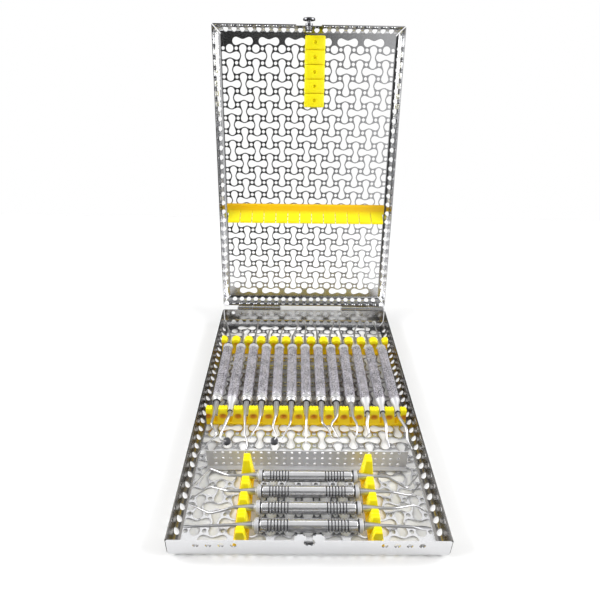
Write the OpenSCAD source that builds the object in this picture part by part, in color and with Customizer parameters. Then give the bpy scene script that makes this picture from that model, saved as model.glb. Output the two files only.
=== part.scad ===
// Perforated instrument cassette, laid open: a tray and a lid of thin steel sheet
// hinged along the back, with silicone rails and strips that hold thirteen
// instruments lengthwise and four crosswise. Millimetres, X to the right,
// Y to the back, Z up, and the origin under the middle of the tray.

/* [Tray and lid] */
// Width of tray and lid
cassette_w = 187; // [184:1:200]
// Depth of tray and lid, front to back
cassette_d = 288; // [286:1:300]
// Height of the tray walls
tray_h = 18; // [16:0.5:20]
// Height of the lid walls
lid_h = 18; // [16:0.5:20]
// Thickness of the sheet
sheet_t = 0.8; // [0.6:0.1:1.2]
// Outer radius of the bend between floor and wall
bend_r = 6; // [5.5:0.1:6.5]
// Gap between the two rims when the cassette is closed
rim_gap = 1.2; // [0.8:0.1:2]
// Open seam between two neighbouring walls
seam_gap = 1; // [0.6:0.1:1.4]
// Angle that the lid is opened by when it rests on its stops
open_angle = 100; // [95:1:110]

/* [Perforation] */
// Plain strip between the hole pattern and the side bends
pattern_margin = 2; // [1.5:0.1:3]
// Radius of the two lobes of a double hole
lobe_r = 3.75; // [3.4:0.05:3.8]
// Width of the neck between two lobes
neck_w = 3.7; // [3:0.1:4]
// Radius of the small round holes
small_r = 1.7; // [1.4:0.1:1.8]
// Plain strip between a cut hole and the bend
edge_margin = 0.5; // [0.4:0.1:0.8]
// Diameter of the holes in the bends
bend_hole_d = 5.2; // [4.4:0.1:5.6]
// Diameter of the holes near the rim
rim_hole_d = 4.2; // [3:0.1:4.6]
// Distance from the rim to the middle of those holes
rim_hole_drop = 4.2; // [3.6:0.1:5]
// Spacing of the holes along the front and back walls
short_wall_spacing = 8.2; // [7.6:0.1:8.2]
// Spacing of the holes along the side walls
side_wall_spacing = 9.7; // [9:0.1:9.8]

/* [Rails] */
// Height of the rails above the floor
rail_h = 23; // [21:0.5:24]
// Thickness of the rear rail
rear_rail_t = 8; // [6:0.5:9]
// Diameter of the rear rail's round heads
bulb_d = 9.4; // [8.8:0.1:9.5]
// Top of the round heads above the floor
bulb_top = 19.2; // [18:0.1:20]
// Width of the stem under a round head
stem_w = 5.4; // [4.5:0.1:6]
// Width of a tapered post at its foot
post_foot_w = 11.4; // [10.5:0.1:11.8]
// Width of a tapered post at its top
post_top_w = 7.8; // [7:0.1:8]
// Depth of a tapered rail at its foot
rail_foot_t = 10.4; // [9:0.1:11]
// Depth of a tapered rail at its top
rail_top_t = 4.8; // [4:0.1:6]
// Thickness of the base that joins the posts
rail_base_t = 2.4; // [2:0.1:3]
// Depth of the dimple in each post
dimple_t = 1.6; // [1:0.1:1.8]
// Diameter of the dimple in each round head
head_dimple_d = 3.2; // [2.4:0.1:4]
// Depth of that dimple
head_dimple_t = 0.8; // [0.5:0.1:1.2]
// Clearance of the rail studs in their holes
stud_gap = 0.1; // [0.05:0.05:0.3]
// Spacing of the four crosswise instruments
cross_pitch = 13.7; // [13.2:0.1:13.8]
// Middle of the crosswise instruments, from the front bend
cross_front_gap = 29.4; // [28:0.1:30]

/* [Divider] */
// Length of the divider
divider_w = 158; // [150:1:160]
// Height of the divider
divider_h = 17.4; // [15:0.1:18]
// Place of the divider's front face, from the middle of the crosswise instruments
divider_gap = 40.2; // [39:0.1:41.6]
// Depth of its foot
divider_foot = 4; // [3:0.1:5]
// Spacing of its holes
divider_spacing = 6; // [5.5:0.1:6.4]
// Diameter of its holes
divider_hole_d = 2.4; // [1.8:0.1:2.8]

/* [Lid strips] */
// Clearance between the ends of the cross strip and the bends
strip_end_gap = 0.5; // [0.3:0.1:3]
// Height of the cross strip's fingers off the lid
cross_strip_h = 14.4; // [12:0.1:14.6]
// Thickness of the strip's base
strip_base_t = 4; // [3:0.1:5]
// Width of the strip's base
strip_base_w = 10; // [8:0.1:10]
// Reach of the fingers behind the base
finger_reach = 9; // [7:0.1:10]
// Thickness of a finger
finger_t = 2.4; // [2:0.1:3]
// Width of the notch between two fingers
finger_notch = 1; // [0.6:0.1:2]
// Width of the short strip
short_strip_w = 20; // [18:0.5:21]
// Height of the short strip
short_strip_h = 14; // [12:0.1:14.2]
// Number of blocks in the short strip
short_strip_blocks = 5; // [3:1:5]
// Distance from the front of the lid to the short strip
short_strip_gap = 8.4; // [8.4:0.1:12]

/* [Hinges] */
// Diameter of a hinge knuckle
knuckle_d = 4.8; // [4.4:0.1:5]
// Diameter of the hinge pin
hinge_pin_d = 2.4; // [2:0.1:2.6]
// Difference between bore and pin
hinge_fit = 0.1; // [0.06:0.01:0.18]
// Length of one knuckle
knuckle_l = 16; // [14:0.5:17]
// Middle of the left hinge, from the left side
hinge_left_inset = 41.5; // [34:0.5:43]
// Middle of the right hinge, from the right side
hinge_right_inset = 26.2; // [26.2:0.1:43]
// Clearance between neighbouring knuckles, and from knuckle to wall
knuckle_gap = 0.4; // [0.3:0.05:0.6]
// Height of a hinge leaf on its wall
leaf_h = 10; // [8:0.5:11]
// Gap between the lid and the hinge stop when the lid stands open
stop_gap = 0.3; // [0.25:0.05:0.5]

/* [Latch] */
// Diameter of the round hole in the tray's front wall
keyhole_d = 7.6; // [7.4:0.1:8]
// Width of the slot that opens upwards from it
keyhole_slot = 4.1; // [4:0.1:4.6]
// Distance from the tray's rim down to the middle of the hole
keyhole_drop = 1; // [0.8:0.1:1.5]
// Height of the two ears above the rim
ear_h = 6.2; // [5.5:0.1:6.6]
// Width over the two ears
ears_w = 19.8; // [18:0.1:21]
// Width of the cut-out in the lid's front wall
lid_cut_w = 24.8; // [23:0.1:26]
// Diameter of the button's cap
cap_d = 11.6; // [10:0.1:12.4]
// Thickness of the cap
cap_t = 1.8; // [1.4:0.1:2.2]
// Diameter of the collar that fills the hole
collar_d = 6.8; // [6.4:0.1:7]
// Diameter of the neck that passes the slot
neck_d = 3.4; // [3:0.1:3.5]
// Travel of the button
button_travel = 2.6; // [2.2:0.1:2.6]
// Wire of the latch spring
spring_wire = 0.4; // [0.3:0.05:0.45]
// Turns of the latch spring
spring_turns = 2.5; // [2:0.5:2.5]

/* [Instruments] */
// Diameter of the lengthwise handles
long_handle_d = 9.2; // [8.4:0.1:9.6]
// Diameter of the crosswise handles
cross_handle_d = 8; // [7.4:0.1:8.6]
// Height of the lengthwise handles' axis
long_axis_z = 16.5; // [16:0.1:17]
// Height of the crosswise handles' axis
cross_axis_z = 14; // [13:0.1:15]
// Distance from the middle of the front rail to the lengthwise handles
front_rail_gap = 8.2; // [8:0.1:11]
// Distance from the lengthwise handles to the middle of the rear rail
rear_rail_gap = 9.4; // [8.8:0.1:11]
// Distance from the crosswise handles to the middle of a short rail
short_rail_gap = 8; // [7.6:0.1:10]
// Diameter of a shank in the rear rail
rear_shank_d = 3.1; // [2.6:0.1:3.1]
// Diameter of a shank in the front rail
front_shank_d = 3.6; // [3:0.1:3.7]
// Diameter of a crosswise shank in its rail
cross_shank_d = 3.8; // [3:0.1:3.9]
// Diameter of a shank's tip
tip_d = 1.1; // [0.8:0.1:1.4]
// Grooves near each end of a crosswise handle
grip_grooves = 7; // [4:1:8]
// Spacing of those grooves
groove_pitch = 2.2; // [1.8:0.1:2.4]
// Diameter of a cord packer's serrated disc
disc_d = 5; // [4:0.1:6]
// Thickness of that disc
disc_t = 1.2; // [0.8:0.1:1.6]

/* [Hidden] */

cell_columns = 13;                   // columns of the hole pattern, one per lengthwise instrument
cell_rows = 21;
steel = "silver";
satin = "darkgray";
silicone = "gold";
joint_lap = 1;                       // overlap that makes cuts and unions clean
round_fn = 96;
hole_fn = 48;
small_fn = 32;

floor_w = cassette_w - 2 * bend_r;
floor_d = cassette_d - 2 * bend_r;
closed_h = tray_h + rim_gap + lid_h;
hinge_z = tray_h + rim_gap / 2;
hinge_y = cassette_d / 2 + knuckle_d / 2 + knuckle_gap;
half_wall_holes = floor((floor_w / 2 - bend_hole_d / 2 - seam_gap) / short_wall_spacing);
half_side_holes = floor((floor_d / 2 - bend_hole_d / 2 - seam_gap) / side_wall_spacing);

// Lattice of small holes: lines 0 to cell_columns across, 1 to cell_rows - 1 along
pitch_x = (floor_w - 2 * pattern_margin) / cell_columns;
pitch_y = floor_d / cell_rows;
function line_x(i) = (i - cell_columns / 2) * pitch_x;
function line_y(j) = (cell_rows / 2 - j) * pitch_y;
function cell_x(c) = line_x(c - 0.5);
function cell_y(r) = line_y(r - 0.5);

rear_rail_y = line_y(4);
front_rail_y = line_y(12);
short_rail_x = line_x(cell_columns - 3);
cross_slots = 4;
cross_middle = cross_front_gap - floor_d / 2;
divider_y = cross_middle + divider_gap;
cross_strip_w = floor_w - 2 * strip_end_gap;
hinge_left = hinge_left_inset - cassette_w / 2;
hinge_right = cassette_w / 2 - hinge_right_inset;
long_handle_front = front_rail_y + front_rail_gap;
long_handle_back = rear_rail_y - rear_rail_gap;
cross_handle_half = short_rail_x - short_rail_gap;
tray_top = sheet_t;                  // upper side of the tray's floor

// Perforated sheet
module double_hole(turn, l) rotate(turn) {
    square([l, neck_w], center = true);
    translate([-l / 2, 0]) circle(r = lobe_r, $fn = hole_fn);
    translate([l / 2, 0]) rotate(180) circle(r = lobe_r, $fn = hole_fn);
}

// The hole of one cell: lying, upright, or half of an upright one in the end rows
module cell_hole(c, r) {
    lying = (c + r) % 2 == 1;
    if (lying) double_hole(0, pitch_x);
    else if (r == 1) translate([0, -pitch_y / 2]) circle(r = lobe_r, $fn = hole_fn);
    else if (r == cell_rows) translate([0, pitch_y / 2]) circle(r = lobe_r, $fn = hole_fn);
    else double_hole(90, pitch_y);
}

// Holes of the side columns stop short of the bend
module side_column_holes(c, side) intersection() {
    union() {
        for (r = [1:cell_rows]) translate([cell_x(c), cell_y(r)]) cell_hole(c, r);
        for (r = [3:2:cell_rows - 2])
            translate([cell_x(c) + side * pitch_x / 2, cell_y(r)])
                circle(r = lobe_r, $fn = hole_fn);
    }
    square([floor_w - 2 * edge_margin, floor_d - 2 * edge_margin], center = true);
}

module perforated_sheet() linear_extrude(sheet_t) difference() {
    square([floor_w, floor_d], center = true);
    for (c = [2:cell_columns - 1])
        for (r = [1:cell_rows])
            translate([cell_x(c), cell_y(r)]) cell_hole(c, r);
    side_column_holes(1, -1);
    side_column_holes(cell_columns, 1);
    for (i = [0:cell_columns])
        for (j = [1:cell_rows - 1])
            translate([line_x(i), line_y(j)]) circle(r = small_r, $fn = small_fn);
}

// Section of a wall with its bend: outer face at 0, bottom at 0
module wall_section(h) {
    intersection() {
        translate([bend_r, bend_r]) difference() {
            circle(r = bend_r, $fn = round_fn);
            circle(r = bend_r - sheet_t, $fn = round_fn);
        }
        square([bend_r, bend_r]);
    }
    translate([0, bend_r]) square([sheet_t, h - bend_r]);
}

// A wall along X with its outer face at y = 0, mitred at both ends.
// Its rim holes stand between the distances from and to from the centre.
module wall(length, h, spacing, half_count, from, to) {
    mitre = seam_gap / sqrt(2);
    outer = length / 2 - mitre;
    difference() {
        intersection() {
            rotate([90, 0, 90]) linear_extrude(length, center = true) wall_section(h);
            linear_extrude(h + joint_lap) polygon([
                [-outer, 0], [outer, 0], [outer - bend_r, bend_r], [bend_r - outer, bend_r]
            ]);
        }
        for (i = [-half_count:half_count]) {
            translate([i * spacing, bend_r, bend_r])
                rotate([135, 0, 0])
                    translate([0, 0, bend_r - sheet_t - joint_lap])
                        cylinder(d = bend_hole_d, h = sheet_t + 2 * joint_lap, $fn = hole_fn);
            if (abs(i * spacing) >= from && abs(i * spacing) <= to)
                translate([i * spacing, -joint_lap, h - rim_hole_drop])
                    rotate([-90, 0, 0])
                        cylinder(d = rim_hole_d, h = sheet_t + 2 * joint_lap, $fn = hole_fn);
        }
    }
}

// Places a wall on one side: 0 front, 1 right, 2 back, 3 left
module on_side(side) {
    out = side % 2 == 0 ? cassette_d / 2 : cassette_w / 2;
    rotate(side * 90) translate([0, -out, 0]) children();
}

module end_wall(h, from = 0, to = cassette_w)
    wall(cassette_w, h, short_wall_spacing, half_wall_holes, from, to);
module side_wall(h) wall(cassette_d, h, side_wall_spacing, half_side_holes, 0, cassette_d);

// From the closed lid's place to where it stands open
module open_lid()
    translate([0, hinge_y, hinge_z])
        rotate([-open_angle, 0, 0])
            translate([0, -hinge_y, -hinge_z])
                children();

// From a tray's place to the lid's
module as_lid() open_lid() translate([0, 0, closed_h]) mirror([0, 0, 1]) children();

// Latch: a keyhole between two ears on the tray, a spring button on the lid
front_plain = 45;                    // the tray's front wall has rim holes from here
front_holes_end = 76;                // to here
latch_plain = lid_cut_w / 2 + rim_hole_d / 2;
keyhole_z = tray_h - keyhole_drop;
ear_r = 2.6;

// One ear, standing on the x axis with two rounded corners on top
module ear_outline(w, h) {
    square([w, h - ear_r]);
    translate([ear_r, h - ear_r - joint_lap]) square([w - 2 * ear_r, ear_r + joint_lap]);
    for (x = [ear_r, w - ear_r]) translate([x, h - ear_r]) circle(r = ear_r, $fn = hole_fn);
}

module keyhole() {
    circle(d = keyhole_d, $fn = hole_fn);
    translate([-keyhole_slot / 2, 0]) square([keyhole_slot, ear_h + keyhole_drop + joint_lap]);
}

module tray_wall_front() color(steel)
    translate([0, -cassette_d / 2, 0]) difference() {
        union() {
            end_wall(tray_h, front_plain, front_holes_end);
            for (side = [0, 1]) mirror([side, 0, 0])
                translate([keyhole_slot / 2, sheet_t, tray_h - joint_lap])
                    rotate([90, 0, 0]) linear_extrude(sheet_t)
                        ear_outline((ears_w - keyhole_slot) / 2, ear_h + joint_lap);
        }
        translate([0, sheet_t + joint_lap, keyhole_z])
            rotate([90, 0, 0]) linear_extrude(sheet_t + 2 * joint_lap) keyhole();
    }

module tray_floor() color(steel) perforated_sheet();
module tray_wall_back() color(steel) on_side(2) end_wall(tray_h);
module tray_wall_left() color(steel) on_side(3) side_wall(tray_h);
module tray_wall_right() color(steel) on_side(1) side_wall(tray_h);

module lid_panel() color(steel) as_lid() perforated_sheet();
module lid_wall_back() color(steel) as_lid() on_side(2) end_wall(lid_h);
module lid_wall_left() color(steel) as_lid() on_side(3) side_wall(lid_h);
module lid_wall_right() color(steel) as_lid() on_side(1) side_wall(lid_h);

ear_clearance = 0.7;
lid_cut_h = ear_h - rim_gap + ear_clearance;

module lid_wall_front() color(steel) as_lid() difference() {
    on_side(0) end_wall(lid_h, latch_plain);
    translate([-lid_cut_w / 2, -cassette_d / 2 - joint_lap, lid_h - lid_cut_h])
        cube([lid_cut_w, sheet_t + 2 * joint_lap, lid_cut_h + joint_lap]);
}

// Rails of silicone, each on studs that fill small holes of the floor
rail_l = floor_w - 2 * edge_margin;

module stud() cylinder(r = small_r - stud_gap, h = tray_top + joint_lap, $fn = small_fn);

module bulb_outline() {
    stem_h = bulb_top - bulb_d / 2;
    translate([-stem_w / 2, 0]) square([stem_w, stem_h]);
    translate([0, stem_h]) circle(d = bulb_d, $fn = hole_fn);
}

module rear_rail() color(silicone) translate([0, rear_rail_y, 0]) {
    head_z = tray_top + bulb_top - bulb_d / 2;
    difference() {
        translate([0, rear_rail_t / 2, tray_top]) rotate([90, 0, 0]) linear_extrude(rear_rail_t)
            intersection() {
                union() {
                    translate([-rail_l / 2, 0]) square([rail_l, rail_base_t]);
                    for (i = [0:cell_columns]) translate([line_x(i), 0]) bulb_outline();
                }
                translate([-rail_l / 2, 0]) square([rail_l, bulb_top]);
            }
        for (i = [1:cell_columns - 1])
            for (side = [-1, 1])
                translate([line_x(i), side * rear_rail_t / 2, head_z])
                    rotate([90, 0, 0])
                        cylinder(d = head_dimple_d, h = 2 * head_dimple_t, center = true, $fn = small_fn);
    }
    for (i = [0:cell_columns]) translate([line_x(i), 0, 0]) stud();
}

// Outline of a tapered post with three small scallops on top
module post_outline() {
    scallop_r = post_top_w / 6;
    body_h = rail_h - scallop_r;
    polygon([
        [-post_foot_w / 2, 0], [post_foot_w / 2, 0],
        [post_top_w / 2, body_h], [-post_top_w / 2, body_h]
    ]);
    for (k = [-1:1]) translate([2 * k * scallop_r, body_h]) circle(r = scallop_r, $fn = hole_fn);
}

module dimple() {
    dimple_w = 5.2;
    dimple_h = 3.2;
    cylinder_x = (dimple_w - dimple_h) / 2;
    square([2 * cylinder_x, dimple_h], center = true);
    for (k = [-1, 1]) translate([k * cylinder_x, 0]) circle(d = dimple_h, $fn = small_fn);
}

// A tapered rail along X: posts at the given places, cut to a length
module tapered_rail(posts, left, right) {
    dimple_z = 0.6 * rail_h;
    face_y = rail_foot_t / 2 - (rail_foot_t - rail_top_t) / 2 * 0.6;
    difference() {
        intersection() {
            translate([0, rail_foot_t / 2, 0]) rotate([90, 0, 0]) linear_extrude(rail_foot_t)
                intersection() {
                    union() {
                        translate([left, 0]) square([right - left, rail_base_t]);
                        for (x = posts) translate([x, 0]) post_outline();
                    }
                    translate([left, 0]) square([right - left, rail_h]);
                }
            rotate([90, 0, 90]) translate([0, 0, left - joint_lap])
                linear_extrude(right - left + 2 * joint_lap) polygon([
                    [-rail_foot_t / 2, 0], [rail_foot_t / 2, 0],
                    [rail_top_t / 2, rail_h], [-rail_top_t / 2, rail_h]
                ]);
        }
        for (x = posts) if (x > left + post_top_w / 2 && x < right - post_top_w / 2)
            for (side = [-1, 1])
                translate([x, side * (face_y + dimple_t), dimple_z])
                    rotate([90, 0, 0])
                        linear_extrude(4 * dimple_t, center = true) dimple();
    }
}

module front_rail() color(silicone) {
    translate([0, front_rail_y, tray_top])
        tapered_rail([for (i = [0:cell_columns]) line_x(i)], -rail_l / 2, rail_l / 2);
    for (i = [0:cell_columns]) translate([line_x(i), front_rail_y, 0]) stud();
}

// Posts of a short rail; the rearmost stands a little further back than its slot needs
rear_post_shift = 2.2;
last_post = cross_slots / 2 * cross_pitch + rear_post_shift;
short_posts = [for (k = [-cross_slots / 2:cross_slots / 2 - 1]) k * cross_pitch, last_post];
short_rail_front = -floor_d / 2 + edge_margin - cross_middle;

module short_rail(x) color(silicone) {
    translate([x, cross_middle, tray_top]) rotate(90)
        tapered_rail(short_posts, short_rail_front, last_post + post_foot_w / 2);
    for (j = [cell_rows - 4:cell_rows - 1]) translate([x, line_y(j), 0]) stud();
}

module short_rail_left() short_rail(-short_rail_x);
module short_rail_right() short_rail(short_rail_x);

// Divider: a folded perforated strip on the floor
module divider() color(steel) {
    rows = 3;
    half_count = floor((divider_w / 2 - divider_hole_d) / divider_spacing);
    first_z = 3.4;
    translate([0, divider_y + sheet_t, tray_top]) rotate([90, 0, 0]) linear_extrude(sheet_t)
        difference() {
            translate([-divider_w / 2, 0]) square([divider_w, divider_h]);
            for (k = [0:rows - 1]) for (i = [-half_count:half_count])
                translate([i * divider_spacing, first_z + k * divider_spacing])
                    circle(d = divider_hole_d, $fn = small_fn);
        }
    translate([-divider_w / 2, divider_y - divider_foot, tray_top])
        cube([divider_w, divider_foot + sheet_t / 2, sheet_t]);
}

// Lid strips, modelled as if on a tray's floor and placed as the lid is
cross_strip_y = line_y(8);           // studs of the cross strip
fingers = cell_columns;

// Section of the cross strip: a base, and a finger that leans out behind it
module strip_section() {
    foot = strip_base_w;
    square([foot, strip_base_t]);
    polygon([
        [foot - finger_t, 0], [foot, 0], [foot + finger_reach, cross_strip_h - finger_t],
        [foot + finger_reach, cross_strip_h], [foot + finger_reach - finger_t, cross_strip_h],
        [foot - finger_t, strip_base_t]
    ]);
}

module lid_cross_strip() color(silicone) as_lid() {
    stud_inset = 3.4;
    translate([0, cross_strip_y - stud_inset, sheet_t]) difference() {
        rotate([90, 0, 90]) linear_extrude(cross_strip_w, center = true) strip_section();
        for (k = [1:fingers - 1])
            translate([line_x(k) - finger_notch / 2, 0, strip_base_t])
                cube([finger_notch, strip_base_w + finger_reach + joint_lap, cross_strip_h]);
    }
    for (i = [2:2:cell_columns - 1]) translate([line_x(i), cross_strip_y, 0]) stud();
}

module short_strip_block(l) difference() {
    translate([-short_strip_w / 2, 0, 0]) cube([short_strip_w, l, short_strip_h]);
    translate([0, l / 2, short_strip_h]) sphere(d = 4.4, $fn = small_fn);
}

module lid_short_strip() color(silicone) as_lid() {
    notch = 0.8;
    strip_x = line_x(cell_columns / 2 + 0.5);
    strip_front = short_strip_gap - cassette_d / 2;
    translate([strip_x, strip_front, sheet_t]) {
        for (k = [0:short_strip_blocks - 1])
            translate([0, k * pitch_y, 0]) short_strip_block(pitch_y - notch);
        translate([-short_strip_w / 2, 0, 0])
            cube([short_strip_w, short_strip_blocks * pitch_y - notch, short_strip_h - 2]);
    }
    for (j = [cell_rows - 1:-1:cell_rows - 4]) translate([strip_x, line_y(j), 0]) stud();
}

// Hinges: three knuckles each, the outer two on the lid's leaf
hinge_l = 3 * knuckle_l;
leaf_y = cassette_d / 2;

module knuckle(x, l, bore) translate([x, hinge_y, hinge_z]) rotate([0, 90, 0])
    difference() {
        cylinder(d = knuckle_d, h = l, center = true, $fn = round_fn);
        cylinder(d = bore, h = l + 2 * joint_lap, center = true, $fn = round_fn);
    }

// Webs that carry a knuckle stay clear of the pin's bore
web_t = hinge_y - leaf_y - hinge_pin_d / 2 - hinge_fit;

module tray_hinge_leaf(x) color(steel) {
    middle_l = knuckle_l - 2 * knuckle_gap;
    leaf_top = hinge_z - knuckle_d / 2 - knuckle_gap;
    knuckle_back = hinge_y + knuckle_d / 2;
    reach = 2.6;
    turn = open_angle - 90;
    lip_back = knuckle_back + reach;
    // height of the open lid's leaf over the back edge of the stop
    lip_z = hinge_z + (hinge_y - leaf_y - sheet_t) / cos(turn) - (lip_back - hinge_y) * tan(turn);
    knuckle(x, middle_l, hinge_pin_d);
    translate([x - hinge_l / 2, leaf_y, leaf_top - leaf_h]) cube([hinge_l, sheet_t, leaf_h]);
    translate([x - middle_l / 2, leaf_y, leaf_top - joint_lap])
        cube([middle_l, web_t, hinge_z - leaf_top + joint_lap]);
    // stop: a lip bent back under the knuckle and up to where the lid comes to rest
    translate([x - middle_l / 2, leaf_y, leaf_top - 2 * sheet_t])
        cube([middle_l, lip_back - leaf_y, sheet_t]);
    translate([x - middle_l / 2, lip_back - sheet_t, leaf_top - 2 * sheet_t])
        cube([middle_l, sheet_t, lip_z - stop_gap - leaf_top + 2 * sheet_t]);
}

module lid_hinge_leaf(x) color(steel) open_lid() {
    leaf_bottom = hinge_z + knuckle_d / 2 + knuckle_gap;
    outer_l = knuckle_l;
    translate([x - hinge_l / 2, leaf_y, leaf_bottom]) cube([hinge_l, sheet_t, leaf_h]);
    for (side = [-1, 1]) translate([side * knuckle_l, 0, 0]) {
        knuckle(x, outer_l, hinge_pin_d + hinge_fit);
        translate([x - outer_l / 2, leaf_y, hinge_z])
            cube([outer_l, web_t, leaf_bottom - hinge_z + joint_lap]);
    }
}

module hinge_pin(x) color(satin) translate([x, hinge_y, hinge_z]) rotate([0, 90, 0]) {
    head_t = 0.8;
    head_d = hinge_pin_d + 1.2;
    pin_l = hinge_l + 2 * knuckle_gap;
    cylinder(d = hinge_pin_d, h = pin_l, center = true, $fn = round_fn);
    for (side = [-1, 1]) translate([0, 0, side * (pin_l + head_t) / 2])
        cylinder(d = head_d, h = head_t, center = true, $fn = round_fn);
}

module tray_hinge_leaf_left() tray_hinge_leaf(hinge_left);
module tray_hinge_leaf_right() tray_hinge_leaf(hinge_right);
module lid_hinge_leaf_left() lid_hinge_leaf(hinge_left);
module lid_hinge_leaf_right() lid_hinge_leaf(hinge_right);
module hinge_pin_left() hinge_pin(hinge_left);
module hinge_pin_right() hinge_pin(hinge_right);

// Button, in the closed lid's place: its axis runs along Y through the keyhole
wall_y = -cassette_d / 2;
collar_out = 0.3;                    // the collar stands proud of the wall's outer face
collar_t = collar_out + sheet_t + 0.7;
collar_in = wall_y - collar_out + collar_t;
neck_l = button_travel + 0.3;
cap_out = wall_y - collar_out - neck_l - cap_t;
spring_room = button_travel + 1.2;
bracket_y = collar_in + spring_room;
bracket_w = 7;
bracket_flange = 4.2;                // height of the face welded to the wall
clip_t = 0.5;
clip_d = 5.6;
clip_mouth = 1.6;                    // width of the clip's open side
clip_gap = 0.3;                      // clearance between clip and bracket
clip_y = bracket_y + sheet_t + clip_gap;
shaft_end = clip_y + clip_t + 0.4;
clip_groove_d = 2.6;
bracket_bottom = keyhole_z - 2.6;
bracket_top = tray_h + rim_gap + lid_cut_h + sheet_t + bracket_flange;

module on_button_axis(y) translate([0, y, keyhole_z]) rotate([-90, 0, 0]) children();

module latch_button() color(steel) open_lid() {
    on_button_axis(cap_out) rotate_extrude($fn = round_fn) polygon([
        [0, 0], [cap_d / 2 - 0.6, 0], [cap_d / 2, 0.6], [cap_d / 2, cap_t],
        [neck_d / 2, cap_t], [neck_d / 2, cap_t + neck_l],
        [collar_d / 2, cap_t + neck_l], [collar_d / 2, cap_t + neck_l + collar_t],
        [neck_d / 2, cap_t + neck_l + collar_t],
        [neck_d / 2, clip_y - cap_out], [clip_groove_d / 2, clip_y - cap_out],
        [clip_groove_d / 2, clip_y + clip_t - cap_out], [neck_d / 2, clip_y + clip_t - cap_out],
        [neck_d / 2, shaft_end - cap_out], [0, shaft_end - cap_out]
    ]);
}

// Retaining clip in the groove at the shaft's inner end
module latch_clip() color(satin) open_lid() on_button_axis(clip_y)
    linear_extrude(clip_t) difference() {
        circle(d = clip_d, $fn = hole_fn);
        circle(d = clip_groove_d, $fn = hole_fn);
        translate([-clip_mouth / 2, -clip_d]) square([clip_mouth, clip_d]);
    }

// Bracket on the inside of the lid's front wall
module latch_bracket() color(steel) open_lid() difference() {
    union() {
        translate([-bracket_w / 2, bracket_y, bracket_bottom])
            cube([bracket_w, sheet_t, bracket_top - bracket_bottom]);
        translate([-bracket_w / 2, wall_y + sheet_t, bracket_top - sheet_t])
            cube([bracket_w, bracket_y - wall_y, sheet_t]);
        translate([-bracket_w / 2, wall_y + sheet_t, bracket_top - bracket_flange])
            cube([bracket_w, sheet_t, bracket_flange]);
    }
    on_button_axis(bracket_y - joint_lap)
        cylinder(d = neck_d + 0.1, h = sheet_t + 2 * joint_lap, $fn = hole_fn);
}

// A tube through a list of rings: each ring is [centre, direction, radius]
function unit(v) = v / norm(v);
function ring_points(ring, sides) =
    let (
        w = unit(ring[1]),
        side = abs(w[2]) < 0.9 ? unit(cross(w, [0, 0, 1])) : unit(cross(w, [0, 1, 0])),
        up = cross(side, w)
    )
    [for (a = [0:sides - 1]) ring[0]
        + ring[2] * (cos(360 * a / sides) * side + sin(360 * a / sides) * up)];

module swept_tube(rings, sides) {
    n = len(rings);
    points = [for (ring = rings) each ring_points(ring, sides)];
    walls = [for (k = [0:n - 2]) for (a = [0:sides - 1])
        let (b = (a + 1) % sides, p = k * sides, q = p + sides)
        each [[p + a, p + b, q + b], [p + a, q + b, q + a]]];
    start = [for (a = [1:sides - 2]) [0, a + 1, a]];
    last = (n - 1) * sides;
    end = [for (a = [1:sides - 2]) [last, last + a, last + a + 1]];
    polyhedron(points = points, faces = concat(walls, start, end));
}

// Spring round the shaft, between collar and bracket
spring_d = neck_d + spring_wire + 1;
spring_l = spring_room - spring_wire - 0.1;
spring_steps = 16;

function spring_point(t) = [
    spring_d / 2 * cos(360 * t), collar_in + 0.05 + spring_wire / 2 + spring_l * t / spring_turns,
    keyhole_z + spring_d / 2 * sin(360 * t)
];
function spring_direction(t) = [
    -sin(360 * t) * PI * spring_d, spring_l / spring_turns, cos(360 * t) * PI * spring_d
];
echo(spring_least_gap = norm(spring_point(1) - spring_point(0)) - spring_wire);

module latch_spring() color(satin) open_lid() swept_tube([
    for (k = [0:spring_steps * spring_turns])
        let (t = k / spring_steps) [spring_point(t), spring_direction(t), spring_wire / 2]
], 6);

// Instruments. A working end is a route of a few points from the handle's end:
// [sideways, forward, height], with the shank thinning from the second to the last.
// Seen from above no route crosses another, so every instrument lifts straight out.
// The routes are drawn for this floor, and reach as far on another.
drawn_floor = [175, 276];
long_reach = floor_d / drawn_floor[1];
cross_reach = floor_w / drawn_floor[0];
front_ends = [
    [[0, 16, 0], [-0.7, 27, 0], [5, 33, -4.5], [-9, 50, -10]],
    [[0, 16, 0], [-1, 20, 0], [-5.3, 33, -4.5], [-5.5, 37.5, -7.5], [0, 37, -9]],
    [[0, 16, 0], [1.7, 33.5, -4.5], [4, 39, -6.5], [3.3, 45.5, -9]],
    [[0, 16, 0], [-1.3, 24, -3], [-6.3, 33, -5.5], [-7.5, 35.5, -8]],
    [[0, 16, 0], [-2.2, 25.5, -3], [1.7, 33.6, -6], [-0.4, 37, -8.5]],
    [[0, 16, 0], [-0.3, 24, 0], [-7.3, 36, -7.5]],
    [[0, 16, 0], [-0.2, 20, 0], [-0.8, 41, -9]],
    [[0, 16, 0], [-0.2, 24.5, 0], [5.6, 28.6, -3.5], [8, 35, -8]],
    [[0, 16, 0], [-5.9, 23, -3], [0, 34.6, -6], [3, 38, -9]],
    [[0, 16, 0], [2.8, 26, 0], [1.5, 36, -4.5], [-3.4, 21, -9]],
    [[0, 16, 0], [-1.8, 22.6, -3], [0, 29.5, -6], [-4.5, 34, -9]],
    [[0, 16, 0], [0.9, 24, 0], [0, 35.7, -4.5], [1.8, 42.4, -9]],
    [[0, 16, 0], [3.9, 30.3, 0], [3.4, 38.7, -4.5], [6.4, 44.5, -9]]
];
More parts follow.
